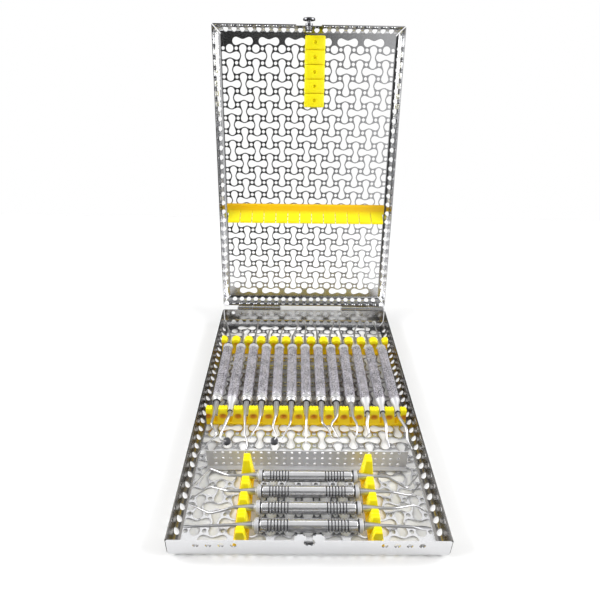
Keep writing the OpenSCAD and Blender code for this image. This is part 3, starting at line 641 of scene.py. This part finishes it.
# the plain bar that joins what stands on it
def slab(name, left, right, top, depth, radius):
    return roundedSolid(name, [
        (left, floorTop), (right, floorTop), (right, top), (left, top),
    ], depth, radius)


bulb = {
    "across": 9.4, "top": 19.4, "depth": 8.0, "round": 1.3,
    "y": 6.5 * pitch, "halfLength": 87.0, "baseHeight": 2.4,
    "neck": [(3.0, floorTop), (2.5, 2.4), (2.3, 4.4), (2.6, 6.6), (3.2, 9.0), (3.8, 11.2)],
}


def buildRearRail():
    radius = bulb["across"] / 2.0
    middle = bulb["top"] - radius
    right = bulb["neck"]
    head = arcPoints(0.0, middle, radius, -26.0, 206.0, 24)
    left = [(-x, z) for x, z in reversed(right)]
    post = roundedSolid("bulbPost", right + head + left, bulb["depth"], bulb["round"])
    half = bulb["depth"] / 2.0
    post = dimpled(post, [((0.0, side * (half + 0.9), middle - 1.4), (2.0, 1.8, 1.7))
                          for side in (-1.0, 1.0)])
    posts = inLine("bulbPosts", post, 14, (linesAcross[0], bulb["y"], 0.0),
                   (pitch, 0.0, 0.0), "rearSilicone")
    reach = bulb["halfLength"]
    base = slab("bulbBase", -reach, reach, floorTop + bulb["baseHeight"],
                bulb["depth"] + 0.4, 0.5)
    base.transform(shifted(0.0, bulb["y"], 0.0))
    mesh = joinedMesh("rearRailMesh", [posts, base], "rearSilicone", (reach, -reach))
    shadeByAngle(mesh)
    return mesh


addPiece("rearSiliconeRail", buildRearRail(), "tray", ["rear_rail"])

frontPost = {
    "foot": 11.4, "top": 7.8, "height": 16.9, "depthFoot": 8.6, "depthTop": 4.8,
    "round": 0.9, "baseHeight": 2.4,
}
lowPost = {**frontPost, "depthFoot": 10.4}
tallPost = {**lowPost, "height": 23.0}


def buildTaperedPost(form):
    foot, top, height = form["foot"] / 2.0, form["top"] / 2.0, form["height"]
    scallop = top / 3.0
    shoulder = floorTop + height - scallop
    outline = [(foot, floorTop), (foot - 0.25, floorTop + 3.0),
               (top + 0.1, shoulder - 0.8)]
    for k in (1, 0, -1):
        bump = arcPoints(2.0 * k * scallop, shoulder, scallop, 0.0, 180.0, 7)
        outline += bump if k == 1 else bump[1:]
    outline += [(-top - 0.1, shoulder - 0.8), (-foot + 0.25, floorTop + 3.0), (-foot, floorTop)]
    post = roundedSolid("taperedPost", outline, form["depthFoot"], form["round"])
    lean = form["depthTop"] / form["depthFoot"] - 1.0
    for vertex in post.vertices:
        share = max(0.0, min(1.0, (vertex.co.z / mm - floorTop) / height))
        vertex.co.y *= 1.0 + lean * share
    # the dimples lie a little above the middle of each face
    up = 0.56
    face = form["depthFoot"] / 2.0 * (1.0 + up * lean)
    return dimpled(post, [((0.0, side * (face + 0.5), floorTop + up * height), (2.7, 1.7, 1.75))
                          for side in (-1.0, 1.0)])


# a rail along X of evenly spaced posts, with single posts added at other places
def buildTaperedRail(name, posts, singles, left, right, place, finish):
    form = posts["form"]
    meshes = [inLine(name + "Posts", buildTaperedPost(form), posts["count"],
                     (posts["first"], 0.0, 0.0), (posts["spacing"], 0.0, 0.0), finish)]
    for x, single in singles:
        extra = buildTaperedPost(single)
        extra.transform(shifted(x, 0.0, 0.0))
        meshes.append(extra)
    meshes.append(slab(name + "Base", left, right, floorTop + form["baseHeight"],
                       form["depthFoot"], 0.4))
    mesh = joinedMesh(name + "Mesh", meshes, finish, (right, left))
    mesh.transform(place)
    shadeByAngle(mesh)
    return mesh


frontRail = {
    "y": -18.4, "halfLength": 87.0,
    "posts": {"form": frontPost, "count": 14, "first": linesAcross[0], "spacing": pitch},
}
addPiece("frontSiliconeRail", buildTaperedRail(
    "frontRail", frontRail["posts"], [], -frontRail["halfLength"], frontRail["halfLength"],
    shifted(0.0, frontRail["y"], 0.0), "frontSilicone"),
    "tray", ["front_rail"])

shortRail = {
    "x": 3.5 * pitch, "y": -108.6, "front": -28.9, "last": 29.6,
    "posts": {"form": lowPost, "count": 4, "first": -27.4, "spacing": 13.7},
}
for side, word in ((-1.0, "Left"), (1.0, "Right")):
    turned = (shifted(side * shortRail["x"], shortRail["y"], 0.0)
              @ Matrix.Rotation(rightAngle, 4, "Z"))
    railMesh = buildTaperedRail(
        "shortRail" + word, shortRail["posts"], [(shortRail["last"], tallPost)],
        shortRail["front"], shortRail["last"] + tallPost["foot"] / 2.0, turned, "shortSilicone")
    addPiece("shortSiliconeRail" + word, railMesh, "tray",
             ["short_rail_" + word.lower()])
print("rails made")

strip = {
    "front": 2.5 * pitch - 3.4, "base": 10.0, "baseHeight": 4.0, "reach": 9.0, "height": 14.4,
    "thick": 2.4, "notch": 0.6, "halfLength": 87.0,
}


# the section is drawn in XZ, and a quarter turn makes it run along X with its depth along Y
def alongX(name, section, length, radius):
    mesh = roundedSolid(name, section, length, radius)
    mesh.transform(Matrix.Rotation(rightAngle, 4, "Z"))
    return mesh


def buildCrossStrip():
    base, height, thick = strip["base"], strip["height"], strip["thick"]
    tip = base + strip["reach"]
    low = strip["baseHeight"]
    finger = alongX("finger", [
        (base - thick - 1.0, floorTop + 1.0), (base - 0.2, floorTop + 0.4),
        (base + 2.6, floorTop + 2.2), (tip, floorTop + height - thick),
        (tip + 0.1, floorTop + height - 0.9), (tip - 0.5, floorTop + height),
        (tip - thick, floorTop + height - 0.3), (base - 0.6, floorTop + low + 1.2),
        (base - thick - 1.0, floorTop + low),
    ], pitch - strip["notch"], 0.5)
    fingers = inLine("fingers", finger, 13, (-6.0 * pitch, 0.0, 0.0), (pitch, 0.0, 0.0),
                     "stripSilicone")
    bar = alongX("bar", [
        (0.0, floorTop), (base, floorTop), (base, floorTop + low),
        (base - 1.6, floorTop + low + 0.1), (1.2, floorTop + low), (0.0, floorTop + low - 1.2),
    ], 2.0 * strip["halfLength"], 0.4)
    reach = strip["halfLength"]
    mesh = joinedMesh("crossStripMesh", [fingers, bar], "stripSilicone", (reach, -reach))
    mesh.transform(shifted(0.0, strip["front"], 0.0))
    mesh.transform(asLid)
    mesh.flip_normals()
    shadeByAngle(mesh)
    return mesh


addPiece("lidCrossStrip", buildCrossStrip(), "lid", ["lid_cross_strip"])

shortStrip = {
    "width": 20.0, "height": 14.0, "blocks": 5, "notch": 0.8, "front": -135.6,
    "x": pitch / 2.0,
}


def buildShortStrip():
    half, top = shortStrip["width"] / 2.0, floorTop + shortStrip["height"]
    block = roundedSolid("block", [
        (-half, floorTop), (half, floorTop), (half, top - 2.4), (half - 0.7, top - 0.7),
        (half - 2.4, top), (-half + 2.4, top), (-half + 0.7, top - 0.7), (-half, top - 2.4),
    ], pitch - shortStrip["notch"], 0.9)
    block = dimpled(block, [((0.0, 0.0, top + 0.6), (2.2, 2.0, 2.8))])
    start = shortStrip["front"] + (pitch - shortStrip["notch"]) / 2.0
    blocks = inLine("blocks", block, shortStrip["blocks"], (shortStrip["x"], start, 0.0),
                    (0.0, pitch, 0.0), "blockSilicone")
    length = shortStrip["blocks"] * pitch - shortStrip["notch"]
    core = slab("core", -half + 0.3, half - 0.3, top - 2.2, length - 0.4, 0.6)
    core.transform(shifted(shortStrip["x"], shortStrip["front"] + length / 2.0, 0.0))
    mesh = joinedMesh("shortStripMesh", [blocks, core], "blockSilicone")
    mesh.transform(asLid)
    mesh.flip_normals()
    shadeByAngle(mesh)
    return mesh


addPiece("lidShortStrip", buildShortStrip(), "lid", ["lid_short_strip"])
print("strips made")

# latch spring: the CAD coil in polished steel, on a mesh of its own; on the real latch it
# shortens against the bracket as the button goes in

springMesh = joinedMesh("latchSpringMesh", [nodes["latch_spring"].data], "polishedSteel")
shadeByAngle(springMesh)
springPiece = addPiece("latchCoilSpring", springMesh, "lid", ["latch_spring"])
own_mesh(springPiece)

# instruments

# the finishes that a ring of an instrument names by number
instrumentFinishes = ["knurledSteel", "turnedSteel", "polishedSteel", "blackRubber", "darkSteel",
                      "barSteel"]
knurled, turnedBand, polished, rubber, dark, bar = range(len(instrumentFinishes))


# rounds the corners of a route by short curves
def softRoute(points, cutLength, steps=5):
    soft = [points[0]]
    for before, corner, after in zip(points, points[1:], points[2:]):
        back, ahead = before - corner, after - corner
        cut = min(cutLength, 0.45 * back.length, 0.45 * ahead.length)
        start, end = corner + back.normalized() * cut, corner + ahead.normalized() * cut
        for k in range(steps + 1):
            t = k / steps
            soft.append(start * (1.0 - t) ** 2 + corner * 2.0 * t * (1.0 - t) + end * t ** 2)
    soft.append(points[-1])
    return soft


# how working ends are drawn: rounding of the route's corners, length of a step, least half
# width, and the shaped part's thinning and swell
workingForm = {
    "round": 3.0, "step": 1.6, "least": 0.12, "thinning": 0.35, "peak": 0.94, "swell": 0.8,
}


# rings for a working end: place, direction, half width, half thickness, finish, lobes
def workingEnd(route, startRadius, neck, tip):
    points = softRoute([Vector(point) for point in route], workingForm["round"])
    fine = [(points[0], 0.0)]
    for first, second in zip(points, points[1:]):
        start, stretch = fine[-1][1], (second - first).length
        pieces = max(1, round(stretch / workingForm["step"]))
        fine += [(first.lerp(second, m / pieces), start + stretch * m / pieces)
                 for m in range(1, pieces + 1)]
    total = fine[-1][1]
    rings = []
    for k, (point, at) in enumerate(fine):
        before = fine[max(0, k - 1)][0]
        after = fine[min(len(fine) - 1, k + 1)][0]
        # a cone from the ferrule to the neck, then a slow one to the tip
        if at < neck["at"]:
            radius = startRadius + (neck["radius"] - startRadius) * at / neck["at"]
        else:
            share = (at - neck["at"]) / max(1.0, total - neck["at"])
            radius = neck["radius"] + (tip["end"] - neck["radius"]) * share
        halves = [radius, radius]
        left = total - at
        if left < tip["length"]:
            t = 1.0 - left / tip["length"]
            swell = math.sin(math.pi * min(1.0, t * workingForm["peak"])) ** workingForm["swell"]
            halves = [radius * (1.0 - workingForm["thinning"] * t) + (tip[way] - radius) * swell
                      for way in ("wide", "thick")]
        wide, thick = [max(workingForm["least"], half) for half in halves]
        rings.append((point, (after - before).normalized(), wide, thick, polished, 0.0))
    return rings


crownLobes = 8.0


# a closed tube through rings; its cross frame is carried along without twist
def tubeMesh(name, rings, extras=(), sides=24):
    bm = bmesh.new()
    side = Vector((1.0, 0.0, 0.0))
    if abs(side.dot(rings[0][1])) > 0.7:
        side = Vector((0.0, 1.0, 0.0))
    loops = []
    for place, direction, wide, thick, finish, lobes in rings:
        side = (side - direction * side.dot(direction)).normalized()
        up = direction.cross(side)
        loop = []
        for k in range(sides):
            angle = 2.0 * math.pi * k / sides
            swell = 1.0 + lobes * math.cos(crownLobes * angle)
            offset = (side * (wide * swell * math.cos(angle))
                      + up * (thick * swell * math.sin(angle)))
            loop.append(bm.verts.new((place + offset) * mm))
        loops.append(loop)
    for ring, first, second in zip(rings, loops, loops[1:]):
        for k in range(sides):
            n = (k + 1) % sides
            face = bm.faces.new((first[k], first[n], second[n], second[k]))
            face.material_index = ring[4]
    bm.faces.new(list(reversed(loops[0]))).material_index = polished
    bm.faces.new(loops[-1]).material_index = polished
    for extra in extras:
        bm.from_mesh(extra)
    bmesh.ops.recalc_face_normals(bm, faces=bm.faces)
    mesh = meshFromBm(name, bm)
    for finish in instrumentFinishes:
        mesh.materials.append(finishes[finish])
    shadeByAngle(mesh, 40.0)
    return mesh


# a disc with teeth round its rim
def toothedDisc(place, settings):
    bm = bmesh.new()
    teeth = 2 * settings["teeth"]
    rings = []
    for height, share in ((-1.0, 0.86), (-0.6, 1.0), (0.6, 1.0), (1.0, 0.86)):
        ring = []
        for k in range(teeth):
            radius = settings["radius"] * share * (1.0 if k % 2 else 0.88)
            angle = 2.0 * math.pi * k / teeth
            ring.append(bm.verts.new((radius * math.cos(angle), radius * math.sin(angle),
                                      height * settings["thick"] / 2.0)))
        rings.append(ring)
    for first, second in zip(rings, rings[1:]):
        for k in range(teeth):
            n = (k + 1) % teeth
            bm.faces.new((first[k], first[n], second[n], second[k]))
    bm.faces.new(list(reversed(rings[0])))
    bm.faces.new(rings[-1])
    for face in bm.faces:
        face.material_index = dark
    matrix = (Matrix.Scale(mm, 4) @ Matrix.Translation(place)
              @ Matrix.Rotation(math.radians(settings["lean"]), 4, "X"))
    bmesh.ops.transform(bm, matrix=matrix, verts=bm.verts)
    return meshFromBm("toothedDisc", bm)


packerDisc = {"radius": 3.6, "thick": 1.2, "teeth": 14, "lean": 30.0}

# tips: length of the shaped part, its widest half width and half thickness, end radius
tips = {
    "needle": {"length": 3.0, "wide": 0.4, "thick": 0.4, "end": 0.4},
    "curette": {"length": 5.5, "wide": 0.85, "thick": 0.5, "end": 0.5},
    "scaler": {"length": 6.0, "wide": 0.5, "thick": 0.95, "end": 0.5},
    "hoe": {"length": 3.0, "wide": 1.3, "thick": 0.5, "end": 0.6},
    "blade": {"length": 9.0, "wide": 1.1, "thick": 0.45, "end": 0.5},
    "paddle": {"length": 12.0, "wide": 1.9, "thick": 0.5, "end": 0.9},
    "spoon": {"length": 5.0, "wide": 1.4, "thick": 0.6, "end": 0.7},
    "disc": {"length": 2.0, "wide": 0.8, "thick": 0.6, "end": 0.6},
}

# half sections of handle ends, outwards from the shank: along, radius, finish, lobes
crownEnd = [
    (0.0, 2.6, rubber, 0.0), (0.1, 3.2, rubber, 0.0), (0.6, 3.5, rubber, 0.0),
    (1.1, 3.2, rubber, 0.0), (1.2, 3.0, turnedBand, 0.0), (1.35, 3.15, turnedBand, 0.0),
    (3.5, 3.8, turnedBand, 0.0), (3.8, 4.1, turnedBand, 0.0), (4.0, 4.75, turnedBand, 0.04),
    (4.4, 5.0, turnedBand, 0.05), (4.9, 4.95, turnedBand, 0.04), (7.2, 4.45, turnedBand, 0.02),
    (7.9, 4.35, turnedBand, 0.0), (8.3, 4.35, knurled, 0.0), (8.6, 4.55, knurled, 0.0),
]
coneEnd = [
    (-12.0, 1.85, rubber, 0.0), (-11.9, 2.15, rubber, 0.0), (-11.4, 2.35, rubber, 0.0),
    (-10.9, 2.15, rubber, 0.0), (-10.8, 1.9, turnedBand, 0.0), (-10.5, 1.95, turnedBand, 0.0),
    (-2.6, 2.35, turnedBand, 0.0), (2.6, 4.1, turnedBand, 0.0), (3.4, 4.35, turnedBand, 0.0),
    (4.0, 4.45, turnedBand, 0.0), (4.3, 4.3, knurled, 0.0), (4.6, 4.55, knurled, 0.0),
]
plainEnd = [
    (0.0, 2.5, turnedBand, 0.0), (0.3, 2.7, turnedBand, 0.0), (2.4, 3.4, turnedBand, 0.0),
    (3.0, 3.9, turnedBand, 0.0), (3.4, 4.1, turnedBand, 0.0), (6.4, 4.2, turnedBand, 0.0),
    (6.8, 4.05, knurled, 0.0), (7.2, 4.5, knurled, 0.0),
]
endForms = {"crown": crownEnd, "cone": coneEnd, "plain": plainEnd}
crossEnd = [
    (0.0, 2.9, turnedBand, 0.0), (0.2, 3.15, turnedBand, 0.0), (0.9, 3.25, dark, 0.0),
    (1.2, 4.3, turnedBand, 0.0), (1.5, 4.75, turnedBand, 0.0), (3.9, 4.8, turnedBand, 0.0),
    # the dark rings from 4.2 to 5.0 line a groove: painted shade in it
    (4.2, 4.4, dark, 0.0), (4.4, 4.0, dark, 0.0), (5.0, 4.0, dark, 0.0), (5.3, 4.35, bar, 0.0),
    (5.5, 4.4, bar, 0.0),
]


# rings of a handle from its back end to its front end, along the way from back to front
def handleRings(length, backForm, frontForm, grooves=None):
    def ring(at, radius, finish, lobes=0.0):
        return (Vector((0.0, -at, 0.0)), Vector((0.0, -1.0, 0.0)), radius, radius, finish, lobes)

    rings = [ring(*row) for row in backForm]
    body = backForm[-1][1]
    start, end = backForm[-1][0], length - frontForm[-1][0]
    if grooves:
        step = grooves["span"] / grooves["count"]
        for zone in (start + grooves["from"], end - grooves["from"] - grooves["span"]):
            for k in range(grooves["count"]):
                rings += [ring(zone + (k + share) * step, body - drop, finish)
                          for share, drop, finish in grooves["form"]]
    else:
        parts = 12
        rings += [ring(start + (end - start) * k / parts, body, knurled)
                  for k in range(1, parts)]
    return rings + [ring(length - row[0], *row[1:]) for row in reversed(frontForm)]


ferruleWall = 0.25


# back working end, handle and front working end in one run, at the handle's back end
def instrumentRings(settings):
    def end(side):
        form = settings[side + "Form"]
        return workingEnd([(0.0, -form[0][0], 0.0)] + settings[side], form[0][1] - ferruleWall,
                          settings[side + "Neck"], tips[settings[side + "Tip"]])

    length = settings["length"]
    rings = [(place, -direction, *rest) for place, direction, *rest in reversed(end("back"))]
    rings += handleRings(length, settings["backForm"], settings["frontForm"],
                         settings.get("grooves"))
    for place, direction, *rest in end("front"):
        turned = Vector((place.x, -place.y - length, place.z))
        heading = Vector((direction.x, -direction.y, direction.z))
        rings.append((turned, heading, *rest))
    return rings


def addInstrument(name, mesh, x, y, z):
    mesh.transform(shifted(x, y, z))
    addPiece(name + "Dressed", mesh, name + "_body", [name])


longHandle = {"front": -11.5, "back": 76.0, "height": 16.5}
longNecks = {"back": {"radius": 1.1, "at": 14.0}, "front": {"radius": 1.1, "at": 18.0}}
longStarts = {"back": (0, 15, 0), "front": (0, 16, 0)}

# each working end is a route from the handle's end: sideways, forward, height;
# the first point is the same for all, and stands in longStarts
longInstruments = [
    {"name": "universal_curette", "ends": ("crown", "crown"), "tips": ("scaler", "needle"),
     "back": [(-9, 49.5, -4), (-10, 59.5, -8)],
     "front": [(-0.7, 27, 0), (5, 33, -4.5), (-9, 50, -10)]},
    {"name": "cord_packer", "ends": ("crown", "cone"), "tips": ("hoe", "disc"),
     "back": [(-1.8, 29.6, -4), (4.2, 45.7, -8)],
     "front": [(-1, 20, 0), (-5.3, 33, -4.5), (-5.5, 37.5, -7.5), (0, 37, -9)]},
    {"name": "narrow_curette", "ends": ("crown", "crown"), "tips": ("curette", "curette"),
     "back": [(0.6, 41, -4), (-0.3, 59, -8)],
     "front": [(1.7, 33.5, -4.5), (4, 39, -6.5), (3.3, 45.5, -9)]},
    {"name": "sickle_scaler", "ends": ("crown", "crown"), "tips": ("scaler", "scaler"),
     "back": [(1.2, 34, -4), (7.4, 47.5, -8)],
     "front": [(-1.3, 24, -3), (-6.3, 33, -5.5), (-7.5, 35.5, -8)]},
    {"name": "wide_curette", "ends": ("crown", "crown"), "tips": ("curette", "disc"),
     "back": [(1.4, 30.3, -4), (2.1, 44, -8)],
     "front": [(-2.2, 25.5, -3), (1.7, 33.6, -6), (-0.4, 37, -8.5)]},
    {"name": "hatchet_scaler", "ends": ("crown", "crown"), "tips": ("hoe", "curette"),
     "back": [(2.1, 26, -2.7), (6.6, 49, -5.5), (5, 58.5, -7.5)],
     "front": [(-0.3, 24, 0), (-7.3, 36, -7.5)]},
    {"name": "straight_probe", "ends": ("crown", "crown"), "tips": ("needle", "needle"),
     "back": [(1.6, 41.9, -4), (-1.5, 59, -8)],
     "front": [(-0.2, 20, 0), (-0.8, 41, -9)]},
    {"name": "offset_curette", "ends": ("crown", "crown"), "tips": ("curette", "scaler"),
     "back": [(0.3, 32.9, -4), (-3.4, 55.3, -8)],
     "front": [(-0.2, 24.5, 0), (5.6, 28.6, -3.5), (8, 35, -8)]},
    {"name": "hook_explorer", "ends": ("crown", "crown"), "tips": ("needle", "needle"),
     "back": [(2.8, 31, -2.7), (7, 50, -4), (8.6, 56, -6), (6, 59, -8)],
     "front": [(-5.9, 23, -3), (0, 34.6, -6), (3, 38, -9)]},
    {"name": "hoe_scaler", "ends": ("crown", "plain"), "tips": ("scaler", "blade"),
     "back": [(-1, 30, -2), (0.5, 55.8, -8)],
     "front": [(2.8, 26, 0), (1.5, 36, -4.5), (-3.4, 21, -9)]},
    {"name": "angled_scaler", "ends": ("plain", "cone"), "tips": ("scaler", "scaler"),
     "back": [(2.9, 35.6, -4), (9.9, 59, -8)],
     "front": [(-1.8, 22.6, -3), (0, 29.5, -6), (-4.5, 34, -9)]},
    {"name": "long_curette", "ends": ("plain", "cone"), "tips": ("curette", "curette"),
     "back": [(0.7, 29.7, -1), (3.3, 56.3, -8)],
     "front": [(0.9, 24, 0), (0, 35.7, -4.5), (1.8, 42.4, -9)]},
    {"name": "side_curette", "ends": ("plain", "cone"), "tips": ("curette", "hoe"),
     "back": [(0.4, 38.6, -4), (1.2, 59, -8)],
     "front": [(3.9, 30.3, 0), (3.4, 38.7, -4.5), (6.4, 44.5, -9)]},
]

for k, item in enumerate(longInstruments):
    rings = instrumentRings({
        "length": longHandle["back"] - longHandle["front"],
        "backForm": endForms[item["ends"][0]], "frontForm": endForms[item["ends"][1]],
        "back": [longStarts["back"]] + item["back"],
        "front": [longStarts["front"]] + item["front"],
        "backTip": item["tips"][0], "frontTip": item["tips"][1],
        "backNeck": longNecks["back"], "frontNeck": longNecks["front"],
    })
    extras = []
    if item["tips"][1] == "disc":
        x, y, z = item["front"][-1]
        extras.append(toothedDisc(
            (x, -y - longHandle["back"] + longHandle["front"], z), packerDisc))
    mesh = tubeMesh(item["name"] + "Mesh", rings, extras)
    addInstrument(item["name"], mesh, (k - 6) * pitch, longHandle["back"], longHandle["height"])

crossHandle = {"half": 38.0, "height": 13.4, "middle": -108.6, "spacing": 13.7}
crossNeck = {"radius": 1.1, "at": 14.0}
crossStart = (0, 14, 0)
crossInstruments = [
    {"name": "cross_explorer", "tips": ("disc", "needle"),
     "left": [(0, 21, 0), (10, 36.8, -4), (-6, 49.5, -8)],
     "right": [(0, 21, 0), (7.5, 35.6, -4), (-9, 48.5, -8)]},
    {"name": "cross_probe", "tips": ("needle", "needle"),
     "left": [(0, 20, 0), (7, 34, -4), (-2.3, 49.5, -8)],
     "right": [(0, 22, 0), (0, 36.8, -4), (-15, 48.5, -8)]},
    {"name": "cross_curette", "tips": ("curette", "curette"),
     "left": [(-1, 17, 0), (-2, 30.6, -4), (9, 48.5, -8)],
     "right": [(0, 23, 0), (-6, 38.7, -4), (-1, 49.5, -8)]},
    {"name": "cement_spatula", "tips": ("spoon", "paddle"),
     "left": [(0, 30, -1), (0, 47, -2)],
     "right": [(0, 30, -1), (0, 46, -3)]},
]
# the groove bottoms take darkSteel: painted shade in the grooves
ringGrooves = {
    "from": 4.4, "span": 15.4, "count": 7,
    "form": ((0.0, 0.0, bar), (0.1, 0.6, dark), (0.36, 0.6, bar), (0.46, 0.0, bar)),
}

for k, item in enumerate(crossInstruments):
    # built along Y like the others, with the left end at the back, then turned
    rings = instrumentRings({
        "length": 2.0 * crossHandle["half"], "backForm": crossEnd, "frontForm": crossEnd,
        "back": [crossStart] + item["left"],
        "front": [crossStart] + [(-x, y, z) for x, y, z in item["right"]],
        "backTip": item["tips"][0], "frontTip": item["tips"][1],
        "backNeck": crossNeck, "frontNeck": crossNeck, "grooves": ringGrooves,
    })
    mesh = tubeMesh(item["name"] + "Mesh", rings)
    mesh.transform(Matrix.Rotation(rightAngle, 4, "Z"))
    y = crossHandle["middle"] + (1.5 - k) * crossHandle["spacing"]
    addInstrument(item["name"], mesh, -crossHandle["half"], y, crossHandle["height"])
print("instruments made")

# stage, light and camera

floor = {"halfSize": (1.0, 0.375, 1.0), "middle": (0.0, 0.115, -0.0004)}
floorBm = bmesh.new()
bmesh.ops.create_grid(floorBm, x_segments=2, y_segments=2, size=1.0)
bmesh.ops.scale(floorBm, verts=floorBm.verts, vec=floor["halfSize"])
bmesh.ops.translate(floorBm, verts=floorBm.verts, vec=floor["middle"])
floorPiece = newObject("studioFloor", meshFromBm("floorMesh", floorBm))
floorPiece.data.materials.append(finishes["paleFloor"])

# a studio that is bright overhead and behind and dim in front, for steel to reflect
studio = {
    "over": 0.55, "behind": 1.0, "front": 0.03, "side": 0.22, "card": 0.7,
    "seen": colour(1.0, 1.0, 1.0),
}
world = bpy.data.worlds.new("studio")
bpy.context.scene.world = world
world.use_nodes = True
world.node_tree.nodes.clear()
air = Graph(world.node_tree)
heading = air.add("ShaderNodeTexCoord", {}, {}, "Generated")
behind = air.add("ShaderNodeSeparateXYZ", {}, {"Vector": heading}, "Y")
upward = air.pick(behind, "Z")
rightward = air.pick(behind, "X")
overShare = air.ramp(behind, -0.68, -0.45) * air.ramp(upward, 0.7, 0.78)
backShare = (air.ramp(behind, 0.3, 0.45) * air.ramp(upward, 0.73, 0.77)
             * (1.0 - air.ramp(upward, 0.84, 0.89)))
sideShare = air.ramp(rightward.calc("ABSOLUTE"), 0.35, 0.8)
cardShare = (air.ramp(rightward, 0.04, 0.16) * (1.0 - air.ramp(rightward, 0.6, 0.75))
             * (1.0 - air.ramp(behind, -0.75, -0.55)) * (1.0 - air.ramp(upward, 0.4, 0.5)))
glow = (studio["front"] + studio["side"] * sideShare + studio["over"] * overShare
        + studio["behind"] * backShare + studio["card"] * cardShare)
seen = air.add("ShaderNodeLightPath", {}, {}, "Is Camera Ray")
grey = air.add("ShaderNodeCombineColor", {}, {"Red": glow, "Green": glow, "Blue": glow})
air.add("ShaderNodeOutputWorld", {}, {
    "Surface": air.add("ShaderNodeBackground", {}, {
        "Color": air.mix(seen, grey, studio["seen"]), "Strength": 1.0,
    }),
})
bpy.context.scene.view_settings.view_transform = "Standard"


def addLight(name, settings):
    data = bpy.data.lights.new(name, "AREA")
    data.shape = "RECTANGLE"
    data.size = settings["width"]
    data.size_y = settings["height"]
    data.energy = settings["power"]
    lamp = newObject(name, data)
    lamp.location = settings["place"]
    aim = Vector(settings["aim"]) - lamp.location
    lamp.rotation_euler = aim.to_track_quat("-Z", "Y").to_euler()


for name, x in (("leftSoftbox", -1.15), ("rightSoftbox", 1.15)):
    addLight(name, {
        "width": 1.0, "height": 0.8, "power": 20.0,
        "place": (x, -0.1, 0.75), "aim": (0.0, 0.0, 0.0),
    })

camera = {
    "place": (-10.89, -338.31, 310.19), "down": 30.03, "sideways": -0.012,
    "roll": 0.016, "lens": 29.27, "sensor": 36.0,
}
cameraData = bpy.data.cameras.new("camera")
cameraData.lens = camera["lens"]
cameraData.sensor_width = camera["sensor"]
cameraData.clip_start = 0.01
cameraObject = newObject("camera", cameraData)
lookTurn = Euler((math.radians(90.0 - camera["down"]), 0.0, camera["sideways"]), "XYZ")
cameraObject.matrix_world = (
    shifted(*camera["place"])
    @ lookTurn.to_matrix().to_4x4()
    @ Matrix.Rotation(camera["roll"], 4, "Z"))
bpy.context.scene.camera = cameraObject
print("stage, light and camera placed")
